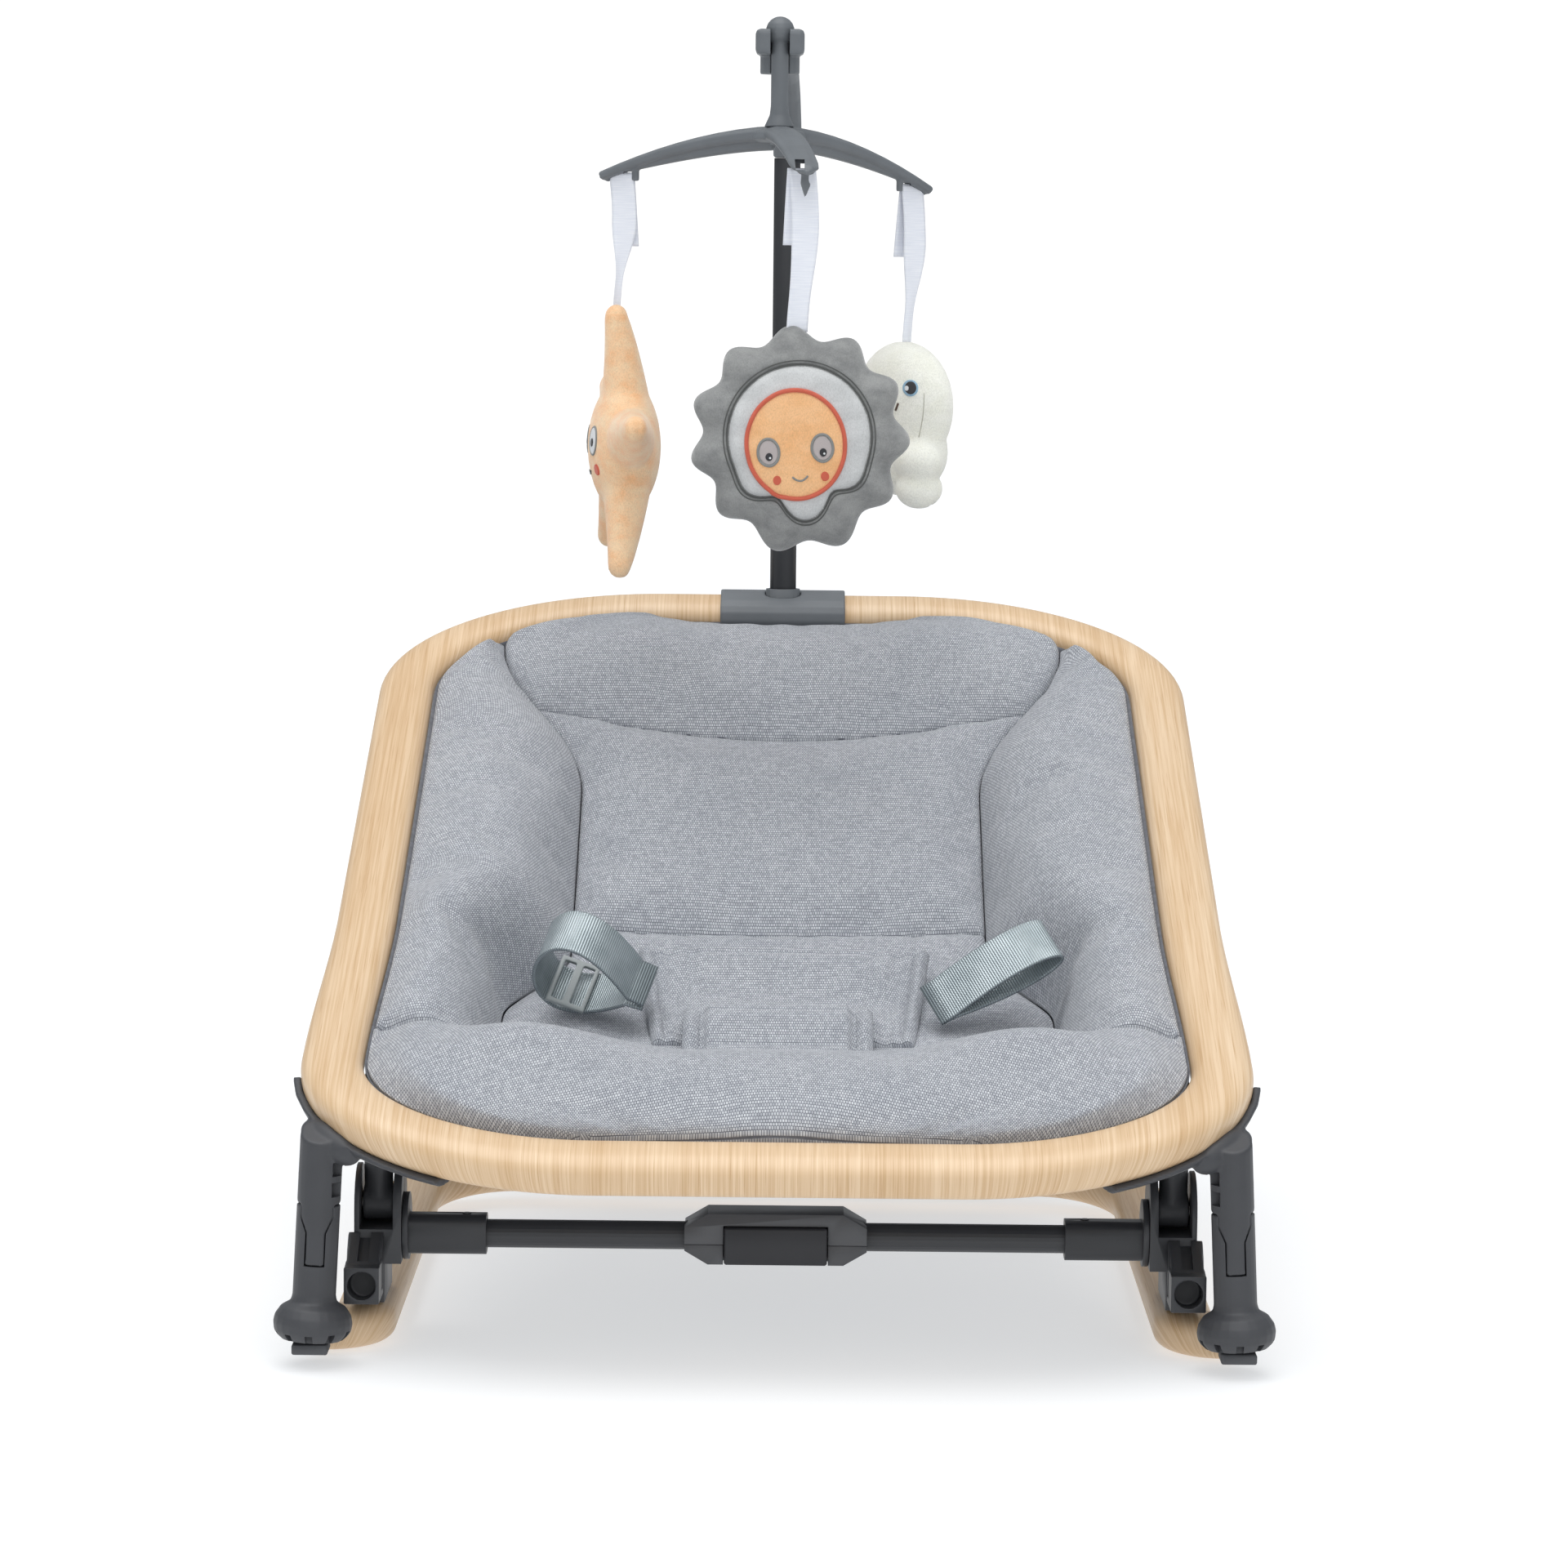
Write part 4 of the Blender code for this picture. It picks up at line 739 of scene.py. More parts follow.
def bulb_slots(sign):
    """The small slots round the lower rim of the foot's bulb."""
    made = []
    centre = sided(leg_point(0.0150), sign)
    for k in range(10):
        angle = 2 * math.pi * (k + 0.5) / 10
        place = Matrix.Translation(centre) @ Matrix.Rotation(angle, 4, "Z")
        made.append(block((0.0150, -0.0020, -0.0040), (0.0260, 0.0020, 0.0050), place))
    return made


def make_spider():
    """Three deep curved arms. Two end in a small lug, with a peg inside it; the front one is a paddle."""
    extra, cutters = [], []
    for index in range(3):
        turn = math.radians(-90 + 120 * index) + HANGER_TURN
        place = Matrix.Translation((HANGER.x, HANGER.y, SPIDER_Z)) @ Matrix.Rotation(turn, 4, "Z")
        reaches = [0.004 + (0.118 if index == 0 else 0.1145) * k / 14 for k in range(15)]
        drop = [arm_drop(index, reach) for reach in reaches]
        if index == 0:
            extra.append(blade(place, reaches, drop, 0.0086, 0.0036, 0.0030, True))
            tip = place @ Matrix.Translation((0.1125, 0, -arm_drop(0, 0.1125)))
            barb = [(-0.0020, 0), (0.0020, 0), (0.0020, -0.0080), (0.0032, -0.0095)]
            barb += [(0, -0.0170), (-0.0026, -0.0090)]
            extra.append(slab(barb, -0.0021, 0.0021, tip @ Matrix.Rotation(math.pi / 2, 4, "Z")))
            hole = [(-0.0026, -0.0034), (0.0026, -0.0034), (0.0026, 0.0030), (-0.0032, 0.0030)]
            spot = tip.to_translation() + Vector((-0.0030, 0.0080, 0.0022))
            cutters.append(slab(hole, -0.0300, 0.0120, Matrix.Translation(spot)))
        else:
            extra.append(blade(place, reaches, drop, 0.0052, 0.0034, 0.0085, False))
            for reach, length, radius in ((PEG_REACH, 0.0110, 0.0021), (LUG_REACH, 0.0050, 0.0012)):
                top = place @ Vector((reach, 0, -arm_drop(index, reach)))
                extra.append(rod(top, top - Vector((0, 0, length)), radius, 16))
        hook = place @ Vector((HOOK_REACH, 0, -arm_drop(index, HOOK_REACH) - 0.0035))
        cutters.append(rod(hook, hook - Vector((0, 0, 0.0100)), 0.0030, 16))
    spider = cut(moulded("hanger_spider", PALE_GREY, 0.0007, 3, extra), cutters)
    creased(spider, 50)


def blade(place, reaches, drops, half_width, rise, depth, paddle):
    """An arm's skin along its reaches: narrowing to a tip, or as wide as a paddle to its rounded end."""
    bm = bmesh.new()
    rings = []
    last = reaches[-1]
    for reach, drop in zip(reaches, drops):
        share = reach / last
        end = math.sqrt(max(1 - max((reach - 0.108) / (last - 0.108), 0) ** 2, 0.02))
        wide = half_width * (end * (1.25 - 0.25 * share) if paddle else 1 - 0.62 * share)
        above = rise * (1 - 0.5 * share)
        below = depth * (1 - share**2.4) + 0.0011
        ring = []
        for across, up in superellipse(wide, (above + below) / 2, 3.0, 20):
            ring.append(bm.verts.new(place @ Vector((reach, across, -drop + (above - below) / 2 + up))))
        rings.append(ring)
    bridge(bm, rings)
    capped(bm, rings)
    return loose("blade", bm)


def make_spring():
    """The coil behind the release button, built at one fixed length; the real coil shortens as the button
    goes in.
    """
    low, high = (Vector(corner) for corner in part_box("button_spring"))
    middle, half = (low + high) / 2, (high - low) / 2
    wire, turns, steps = 0.0006, 5, 120
    reach = min(half.x, half.z) - wire
    climb = high.y - low.y - 2 * wire
    path = []
    for k in range(steps + 1):
        angle = 2 * math.pi * turns * k / steps
        spot = Vector((reach * math.cos(angle), 0, reach * math.sin(angle)))
        path.append(spot + Vector((middle.x, low.y + wire + climb * k / steps, middle.z)))
    spring = piece("button_coil", tube(path, wire), "base", STEEL, ("button_spring",))
    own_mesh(spring)


def make_socket_arm(side):
    """The arm in front of the hub: a slope with two ridges down to the block that holds the foot socket."""
    node = "socket_arm_" + side
    low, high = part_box(node)
    middle = (low[0] + high[0]) / 2
    place = Matrix.Translation((middle, 0, 0)) @ Matrix.Rotation(math.pi / 2, 4, "Z")
    near, far = low[1] + 0.0040, high[1]
    slope = [(far, high[2]), (near, 0.0478), (near, 0.0467), (far, 0.0467)]
    groove = [(far + 0.001, high[2] - 0.0030), (near + 0.0070, 0.0485)]
    groove += [(near + 0.0020, 0.0600), (far + 0.001, 0.0700)]
    wedge = slab(slope, -0.0088, 0.0088, place)
    arm = moulded(node, DARK, 0.0006, 2, [wedge])
    cut(arm, [slab(groove, -0.0030, 0.0030, place)])
    creased(arm, 45)


def painted(node, material):
    """A CAD node that is shown as it is, in this material."""
    materials = NODES[node].data.materials
    materials.clear()
    materials.append(material)


def make_hardware():
    for side, sign in SIDES.items():
        flare = leg_flare(sign)
        cut(flare, [loose("ring_space", cad_bmesh("seat_ring"))])
        leg = rod(sided(leg_point(0.0500), sign), sided(leg_point(0.1000), sign), LEG_RADIUS - 0.0001)
        spring = cut(tongue(sign, 0, LEG_RADIUS + 0.002), [leg], "INTERSECT")
        extra = [flare, spring]
        bracket = moulded("corner_bracket_" + side, GREY, 0.0009, 8, extra)
        cut(bracket, leg_windows(sign)).data.shade_smooth()
        sleeve = moulded("leg_sleeve_" + side, GREY, 0.0007, 5)
        cut(sleeve, [tongue(sign, 0.0005, 0.0200), *bulb_slots(sign)])
        for obj in (bracket, sleeve):
            creased(obj, 50)
        bevelled("foot_peg_" + side, RUBBER, 0.0012)
        bevelled("hub_" + side, DARK, 0.0010)
        make_socket_arm(side)
        bevelled("crossbar_sleeve_" + side, DARK, 0.0010)
        for node in ("sleeve_rivet_", "crossbar_tube_"):
            painted(node + side, DARK)
        for node in ("pivot_pin_", "lock_rod_"):
            painted(node + side, STEEL)
    make_spring()
    for node in ("release_housing_upper", "release_housing_lower"):
        bevelled(node, HOUSING, 0.0007)
    bevelled("release_button", BUTTON, 0.0006)
    moulded("top_bracket", PALE_GREY, 0.0008, 5)
    bevelled("pole_bush", PALE_GREY, 0.0004)
    bevelled("toy_bar_pole", POLE, 0.0004)
    low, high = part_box("toy_bar_pole")
    joint = block((low[0], low[1], high[2] + 0.0002), (high[0], high[1], high[2] + 0.006))
    moulded("toy_bar_arm", PALE_GREY, 0.0007, 5, [joint])
    moulded("hanger_clip", PALE_GREY, 0.0005, 5)
    stem = rod(HANGER - Vector((0, 0, 0.0080)), HANGER - Vector((0, 0, 0.0520)), 0.0053)
    root = Vector((HANGER.x, HANGER.y, SPIDER_Z))
    foot = rod(root + Vector((0, 0, 0.0035)), root + Vector((0, 0, 0.0120)), 0.0092, 32, 0.0053)
    moulded("hanger_rod", PALE_GREY, 0.0006, 4, [stem, foot])
    make_spider()


# ---- padding ------------------------------------------------------------------------------------------
CENTRE_PROFILE = (
    (0.018, 0.0125),
    (0.050, 0.020),
    (0.090, 0.018),
    (0.122, 0.007),
    (0.152, -0.019),
    (0.190, -0.037),
    (0.250, -0.047),
    (0.330, -0.049),
    (0.400, -0.040),
    (0.480, -0.024),
    (0.560, -0.006),
    (0.620, 0.009),
    (0.655, 0.013),
    (0.684, 0.009),
)


def along_profile(s, profile=CENTRE_PROFILE):
    """Height along the middle: a smooth curve through the profile's points."""
    s = min(max(s, profile[0][0]), profile[-1][0])
    for k in range(len(profile) - 1):
        if s <= profile[k + 1][0]:
            break

    def slope(i):
        before, after = profile[max(i - 1, 0)], profile[min(i + 1, len(profile) - 1)]
        return (after[1] - before[1]) / (after[0] - before[0])

    (s0, n0), (s1, n1) = profile[k], profile[k + 1]
    length = s1 - s0
    t = (s - s0) / length
    rise = slope(k) * length * (t**3 - 2 * t**2 + t) + slope(k + 1) * length * (t**3 - t**2)
    return n0 + (n1 - n0) * smooth(t) + rise


def bolster_edge(s):
    """Half the width between the bolsters, wider at the seat and towards the rear corners."""
    return 0.123 + 0.036 * smooth((0.340 - s) / 0.080) + 0.055 * smooth((s - 0.500) / 0.140)


def shoulder(x, s, edge):
    """How far the front roll rises on each side of its middle."""
    across = smooth((abs(x) - 0.050) / 0.090) * smooth((edge - abs(x)) / 0.085)
    return ROLL_SHOULDER * across * smooth((s - 0.060) / 0.050) * smooth((0.152 - s) / 0.018)


def top_height(x, s):
    """Height of the padding's top: the middle's profile, lifted to the ring at the sides."""
    edge = ring_half_width(s, PAD_INSET)
    return bare_height(x, s, edge) + shoulder(x, s, edge)


def bare_height(x, s, edge):
    inner = min(bolster_edge(s), edge - 0.020)
    middle = along_profile(s)
    share = (abs(x) - inner) / (edge - inner)
    if share <= 0:
        return middle - 0.004 * (1 - (x / inner) ** 2) * smooth((s - 0.1) / 0.1)
    crest = 0.014 if middle < 0.014 else middle
    rise = middle + (crest - middle) * math.sin(min(share / 0.62, 1) * math.pi / 2)
    return rise if share < 0.62 else crest - (crest - RIM_HEIGHT) * smooth((share - 0.62) / 0.38)


def hammock_height(x, s):
    """Height of the smooth hollow under the padding, hung from the ring's inner side."""
    edge = ring_half_width(s, PAD_INSET)
    rim = -0.0080
    deepest = along_profile(s) - PAD_FILL
    return rim + (deepest - rim) * (1 - min(abs(x) / edge, 1) ** 6)


def clustered(count):
    """Shares from 0 to 1 that lie closer together near both ends."""
    return [0.55 * i / count + 0.45 * (0.5 - 0.5 * math.cos(math.pi * i / count)) for i in range(count + 1)]


def inflate(obj, free, cap, slack=0.012):
    """Cloth simulation with air pressure. Only the free vertices move, and none of them more than cap."""
    start = np.array([v.co for v in obj.data.vertices])
    held = obj.vertex_groups.new(name="held")
    held.add([i for i in range(len(start)) if not free[i]], 1.0, "REPLACE")
    cloth = obj.modifiers.new("cloth", "CLOTH")
    settings = cloth.settings
    settings.quality = 6
    settings.mass = 0.25
    settings.tension_stiffness = settings.compression_stiffness = 12
    settings.shear_stiffness = 4
    settings.bending_stiffness = 1.2
    settings.vertex_group_mass = "held"
    settings.shrink_min = -slack
    settings.use_pressure = True
    settings.uniform_pressure_force = 4
    settings.effector_weights.gravity = 0
    cloth.collision_settings.use_collision = False
    scene = bpy.context.scene
    for moment in range(1, 21):
        scene.frame_set(moment)
    graph = bpy.context.evaluated_depsgraph_get()
    mesh = bpy.data.meshes.new_from_object(obj.evaluated_get(graph))
    moved = np.array([v.co for v in mesh.vertices]) - start
    bpy.data.meshes.remove(mesh)
    obj.modifiers.clear()
    obj.vertex_groups.clear()
    scene.frame_set(1)
    far = np.linalg.norm(moved, axis=1)
    far[far == 0] = 1
    held_back = cap * np.tanh(far / cap) / far
    for vert, place, step, share in zip(obj.data.vertices, start, moved, held_back):
        vert.co = place + step * share


def rim_beside_ring(x, s):
    """Whether a point of a panel's rim lies along the ring instead of along another panel."""
    beyond = min(s, RING_LENGTH - s) < PAD_INSET + 0.003
    return beyond or abs(x) > ring_half_width(s, PAD_INSET) - 0.002


def cushion(
    name,
    outline_at,
    columns,
    rows,
    top,
    bottom,
    sink=0.0085,
    roll=0.0240,
    pucker=0.0006,
    cap=0.0060,
    stitch=None,
    stitch_depth=0.0012,
):
    """A stuffed panel. Its rim is a seam sunk by sink, over the width roll, with small puckers along it.
    A line of sewing can run round it, stitch metres from the rim."""
    across, down = clustered(columns), clustered(rows)
    flat = [[outline_at(2 * u - 1, v) for u in across] for v in down]
    rim = flat[0] + [row[-1] for row in flat[1:-1]] + flat[-1][::-1] + [row[0] for row in flat[-2:0:-1]]
    rim = np.array(resampled([(*spot, 0) for spot in rim], True, 0.003))[:, :2]
    beside_ring = [rim_beside_ring(x, s) for x, s in rim]
    bm = bmesh.new()
    uv = bm.loops.layers.uv.new("UVMap")
    tops, bottoms, fabric = [], [], {}
    seed = sum(map(ord, name))
    for row in flat:
        high, low = [], []
        for x, s in row:
            far = np.hypot(rim[:, 0] - x, rim[:, 1] - s)
            nearest = int(far.argmin())
            ease = 0.35 if beside_ring[nearest] else 1.0
            distance = min(far[nearest] / (roll * ease), 1)
            rounded = 1 - math.sqrt(1 - (1 - distance) ** 2)
            drop = sink * ease * (0.45 * rounded + 0.55 * (1 - distance) ** 2)
            ripple = noise.noise((nearest * 0.003 * 75, seed, 0)) * pucker * math.exp(-far[nearest] / 0.014)
            fade = min(far[nearest] / 0.003, 1)
            sewn = stitch_depth * math.exp(-(((far[nearest] - stitch) / 0.0011) ** 2)) if stitch else 0
            high.append(bm.verts.new((x, s, top(x, s) - drop - sewn + ripple * fade * 2)))
            low.append(bm.verts.new((x, s, bottom(x, s))))
        tops.append(high)
        bottoms.append(low)
    middle = len(across) // 2
    for k, row in enumerate(tops):
        for j, vert in enumerate(row):
            inwards = range(middle, j) if j > middle else range(j, middle)
            reach = sum((row[i].co - row[i + 1].co).length for i in inwards)
            side = 1 if j > middle else -1
            climb = sum((tops[i][j].co - tops[i + 1][j].co).length for i in range(k))
            fabric[vert] = (row[middle].co.x + side * reach, tops[0][j].co.y + climb)
            fabric[bottoms[k][j]] = (vert.co.x, vert.co.y)
    faces = []
    for k in range(rows):
        for j in range(columns):
            ring = (tops[k][j], tops[k][j + 1], tops[k + 1][j + 1], tops[k + 1][j])
            faces.append(bm.faces.new(ring))
            under = (bottoms[k][j], bottoms[k + 1][j], bottoms[k + 1][j + 1], bottoms[k][j + 1])
            faces.append(bm.faces.new(under))
    walls = [(k, 0, k + 1, 0) for k in range(rows)] + [(rows, j, rows, j + 1) for j in range(columns)]
    walls += [(k + 1, columns, k, columns) for k in range(rows)] + [(0, j + 1, 0, j) for j in range(columns)]
    for k, j, m, n in walls:
        faces.append(bm.faces.new((tops[k][j], tops[m][n], bottoms[m][n], bottoms[k][j])))
    for face in faces:
        for loop in face.loops:
            loop[uv].uv = fabric[loop.vert]
    free = {}
    for k, row in enumerate(tops):
        for j, vert in enumerate(row):
            free[vert] = 0 < k < rows and 0 < j < columns
    free = [free.get(vert, False) for vert in bm.verts]
    bmesh.ops.recalc_face_normals(bm, faces=bm.faces)
    bmesh.ops.transform(bm, matrix=SEAT, verts=bm.verts)
    obj = piece(name + "_cover", bm, "seat", KNIT, (name,))
    if cap:
        inflate(obj, free, cap)
    finer = obj.modifiers.new("finer", "SUBSURF")
    finer.levels = finer.render_levels = 1
    apply_modifiers(obj)
    obj.data.shade_smooth()
    return obj


def make_padding():
    first, last = PAD_INSET + 0.0005, RING_LENGTH - PAD_INSET - 0.0005
    seam = 0.00005

    def across_ring(u, v, low, high):
        s = low + (high - low) * v
        return math.sin(u * math.pi / 2) * ring_half_width(s, PAD_INSET), s

    def roll(u, v):
        return across_ring(u, v, first, ROLL_END)

    def middle(u, low, high, v):
        s = low + (high - low) * v
        return u * (bolster_edge(s) - seam), s

    def seat_panel(u, v):
        return middle(u, ROLL_END + seam, SEAT_END - seam, v)

    def back(u, v):
        return middle(u, SEAT_END + seam, BACK_END - seam + 0.022 * u * u, v)

    def head(u, v):
        low = BACK_END + seam + 0.022 * u * u
        s = low + (last - low) * v
        return u * min(ring_half_width(s, PAD_INSET), bolster_edge(s) - seam), s

    def bolster(sign):
        def outline(u, v):
            s = ROLL_END + seam + (BOLSTER_END - ROLL_END - seam) * v
            inner, outer = bolster_edge(s) + seam, ring_half_width(s, PAD_INSET)
            return sign * (inner + (outer - inner) * (u + 1) / 2), s

        return outline

    def under(x, s):
        return hammock_height(x, s) + 0.0008

    pads = [
        cushion("front_roll", roll, 64, 20, top_height, under, 0.0080, 0.0260, cap=0.0035),
        cushion("seat_pad", seat_panel, 40, 32, top_height, under, cap=0.0020),
        cushion("back_pad", back, 40, 30, top_height, under),
        cushion("head_pad", head, 44, 22, top_height, under),
    ]
    for side, sign in SIDES.items():
        pads.append(cushion("bolster_" + side, bolster(sign), 20, 72, top_height, under, 0.0080, 0.0220))


# ---- sling, harness -----------------------------------------------------------------------------------
WAIST_LIFT = (0.0035, 0.0120)
CROTCH_LIFT = (0.0150, 0.0200)
WEBBING_WIDTH = 0.0280
# For each strap loop: its length, its height, its lean, its turn, and the x, s and n it starts from.
STRAP_LOOPS = {
    "left": (0.0580, 0.0590, 0.28, math.radians(10), (0.0800, 0.236, -0.0195)),
    "right": (0.0720, 0.0180, 0.46, math.radians(15), (0.0930, 0.238, -0.0290)),
}


def make_sling():
    """The cloth under the pads: hung from the ring's inner side, which its edge climbs."""
    bm = bmesh.new()
    uv = bm.loops.layers.uv.new("UVMap")
    columns, rows = 48, 64
    inset = TUBE_HALF_WIDTH + 0.0006
    first, last = inset + 0.0005, RING_LENGTH - inset - 0.0005
    grid = []
    for k in range(rows + 1):
        s = first + (last - first) * clustered(rows)[k]
        edge = ring_half_width(s, inset)
        row = []
        for j in range(columns + 1):
            x = math.sin((clustered(columns)[j] - 0.5) * math.pi) * edge
            rim = min(edge - abs(x), s - first, last - s)
            low = min(hammock_height(x, s + step) for step in (-0.006, 0, 0.006)) - 0.0030
            lift = smooth(1 - rim / 0.0120)
            row.append(bm.verts.new((x, s, low + (0.0035 - low) * lift)))
        grid.append(row)
    for k in range(rows):
        for j in range(columns):
            face = bm.faces.new((grid[k][j], grid[k][j + 1], grid[k + 1][j + 1], grid[k + 1][j]))
            for loop in face.loops:
                loop[uv].uv = loop.vert.co.xy
    area = sum(face.calc_area() for face in bm.faces)
    bmesh.ops.transform(bm, matrix=SEAT, verts=bm.verts)
    sling = piece("sling_cloth", bm, "seat", SLING, ("hammock_sling",))
    thick = sling.modifiers.new("cloth_thickness", "SOLIDIFY")
    thick.thickness = 0.0010
    thick.offset = -1
    apply_modifiers(sling)
    sling.data.shade_smooth()


def stitches(name, body, path, length=0.0026, pitch=0.0038, radius=0.00032, material=None):
    """A line of sewing: short thread capsules one after another along a path in the row frame."""
    path = [Vector(spot) for spot in resampled(path, False, 0.0004)]
    bm = bmesh.new()
    walked, due = 0.0, 0.0
    for before, after in zip(path, path[1:]):
        walked += (after - before).length
        if walked < due:
            continue
        due = walked + pitch
        along = (after - before).normalized()
        turn = Vector((0, 0, 1)).rotation_difference(along).to_matrix().to_4x4()
        size = Matrix.Diagonal((radius, radius, length / 2, 1))
        place = Matrix.Translation(after) @ turn @ size
        bmesh.ops.create_uvsphere(bm, u_segments=8, v_segments=6, radius=1, matrix=place)
    return piece(name, bm, body, material or SEWING_THREAD)


def make_harness():
    def waist_end(s):
        """Half the waist pad's length: shorter towards the front."""
        return 0.0850 - 0.0090 * (0.308 - s) / 0.086

    def waist(u, v):
        s = 0.206 + 0.102 * v
        return waist_end(s) * u + 0.0030, s

    def raised(s):
        """The waist pad's rear edge stands up off the seat, and its front dips behind the roll."""
        return 0.0085 * smooth((s - 0.245) / 0.058) - 0.0040 * smooth((0.238 - s) / 0.030)

    def waist_under(x, s):
        return top_height(x, s) + WAIST_LIFT[0] + raised(s)

    def bound_edge(distance):
        """Two soft ridges with lines of sewing between them, at a distance from the pad's end."""
        first = math.exp(-(((distance - 0.0042) / 0.0034) ** 2))
        second = math.exp(-(((distance - 0.0122) / 0.0030) ** 2))
        return 0.0030 * first + 0.0020 * second

    def waist_top(x, s):
        """Padded and a little creased in its middle, with two bound ends."""
        distance = waist_end(s) - abs(x - 0.003)
        middle = smooth((distance - 0.0150) / 0.0120)
        crease = 0.0012 * math.sin(s * 90 + x * 25) - 0.0016 * math.exp(-(((distance - 0.030) / 0.004) ** 2))
        padded = bound_edge(distance) + (0.0034 + crease) * middle
        return top_height(x, s) + WAIST_LIFT[1] - 0.0030 + padded + raised(s)

    def crotch(u, v):
        return 0.0540 * u, 0.176 + 0.052 * v

    def crotch_rise(s):
        """The crotch pad leaves the seat at its front and climbs over the waist pad."""
        return 0.25 + 0.75 * smooth((s - 0.174) / 0.040)

    def crotch_top(x, s):
        """A raised middle between two lower bound sides."""
        middle = 0.0046 * smooth((0.0430 - abs(x)) / 0.0045)
        side = 0.0024 * math.exp(-(((abs(x) - 0.0490) / 0.0032) ** 2))
        return top_height(x, s) + (CROTCH_LIFT[1] + 0.0015) * crotch_rise(s) - 0.0030 + middle + side

    def crotch_under(x, s):
        return top_height(x, s) + CROTCH_LIFT[0] * crotch_rise(s) - 0.0030

    waist_pad = cushion(
        "waist_pad", waist, 110, 48, waist_top, waist_under, 0.0030, 0.0050, 0.0003, 0.0, 0.0082, 0.0016
    )
    crotch_pad = cushion(
        "crotch_pad", crotch, 84, 40, crotch_top, crotch_under, 0.0025, 0.0040, 0.0002, 0.0, 0.0100, 0.0012
    )
    for pad, outline, inset, top in (
        (waist_pad, waist, 0.898, waist_top),
        (crotch_pad, crotch, 0.820, crotch_top),
    ):
        for side, sign in SIDES.items():
            path = []
            for k in range(24):
                x, s = outline(sign * inset, 0.04 + 0.92 * k / 23)
                path.append(SEAT @ Vector((x, s, top(x, s) + 0.0002)))
            stitches(pad.name + "_sewing_" + side, "seat", path)
    for side, sign in SIDES.items():
        make_strap(side, sign)
    moulded("strap_adjuster_left", BUCKLE, 0.0005, 4)


def loop_frame(sign, lean, turn, base):
    """Where a strap loop stands: its X along the loop, Y up and Z along the strap's width."""
    across = Vector((-sign * lean, 0.871, 0.406)).normalized()
    along = Vector((sign, 0, 0))
    along = (along - across * along.dot(across)).normalized()
    up = along.cross(across) * sign
    along, up = along * math.cos(turn) + up * math.sin(turn), up * math.cos(turn) - along * math.sin(turn)
    frame = Matrix((along, up, along.cross(up))).transposed().to_4x4()
    return Matrix.Translation((sign * base[0], base[1], base[2])) @ frame


def make_strap(side, sign):
    """A flat ribbed strap that leaves the waist pad's end, turns in a loop and comes back."""
    reach, rise, lean, turn, base = STRAP_LOOPS[side]
    place = SEAT @ loop_frame(sign, lean, turn, base)
    steps = 90
    line = []
    for i in range(steps + 1):
        angle = math.radians(24 + 312 * i / steps)
        along = 0.5 - 0.5 * math.cos(angle)
        up = math.sin(angle) * math.sin(angle / 2) / 0.77
        line.append(Vector((reach * along, -rise / 2 * up, 0)))
    inside = 0.010
    line = [line[0] + Vector((-inside, 0.0010, 0))] + line + [line[-1] + Vector((-inside, -0.0010, 0))]
    profile = []
    half, thick = WEBBING_WIDTH / 2, 0.0007
    for k in range(29):
        across = -half + WEBBING_WIDTH * k / 28
        hem = 0.00025 if half - abs(across) < 0.0016 else 0.0
        profile.append((across, thick + hem))
    profile = profile + [(across, -height) for across, height in reversed(profile)]
    bm = bmesh.new()
    uv = bm.loops.layers.uv.new("UVMap")
    rings, walked = [], [0.0]
    for i, spot in enumerate(line):
        before, after = line[max(i - 1, 0)], line[min(i + 1, len(line) - 1)]
        along = (after - before).normalized()
        outward = Vector((along.y, -along.x, 0))
        rings.append([bm.verts.new(place @ (spot + outward * h + Vector((0, 0, a)))) for a, h in profile])
        if i:
            walked.append(walked[-1] + (spot - line[i - 1]).length)
    count = len(profile)
    for i in range(len(line) - 1):
        for j in range(count):
            m = (j + 1) % count
            face = bm.faces.new((rings[i][j], rings[i][m], rings[i + 1][m], rings[i + 1][j]))
            for loop, (at, around) in zip(face.loops, ((i, j), (i, m), (i + 1, m), (i + 1, j))):
                loop[uv].uv = (profile[around][0], walked[at])
            face.material_index = 1 if profile[j][0] == profile[m][0] else 0
    capped(bm, rings)
    strap = piece("strap_" + side, bm, "seat", WEBBING, ("webbing_" + side,))
    strap.data.materials.append(STRAP_EDGE)


# ---- toys ---------------------------------------------------------------------------------------------
def arm_drop(index, reach):
    """How far an arm's centreline has come down at this distance from the rod."""
    return 0.0010 + SPIDER_DROPS[index] * (reach / SPIDER_REACH) ** 1.8


def hook_point(index):
    turn = math.radians(-90 + 120 * index) + HANGER_TURN
    reach = Vector((math.cos(turn), math.sin(turn), 0)) * HOOK_REACH
    return Vector((HANGER.x, HANGER.y, SPIDER_Z - arm_drop(index, HOOK_REACH) - 0.0112)) + reach


def toy_place(index, height, turn):
    hook = hook_point(index)
    return Matrix.Translation((hook.x, hook.y, height)) @ Matrix.Rotation(turn, 4, "Z")


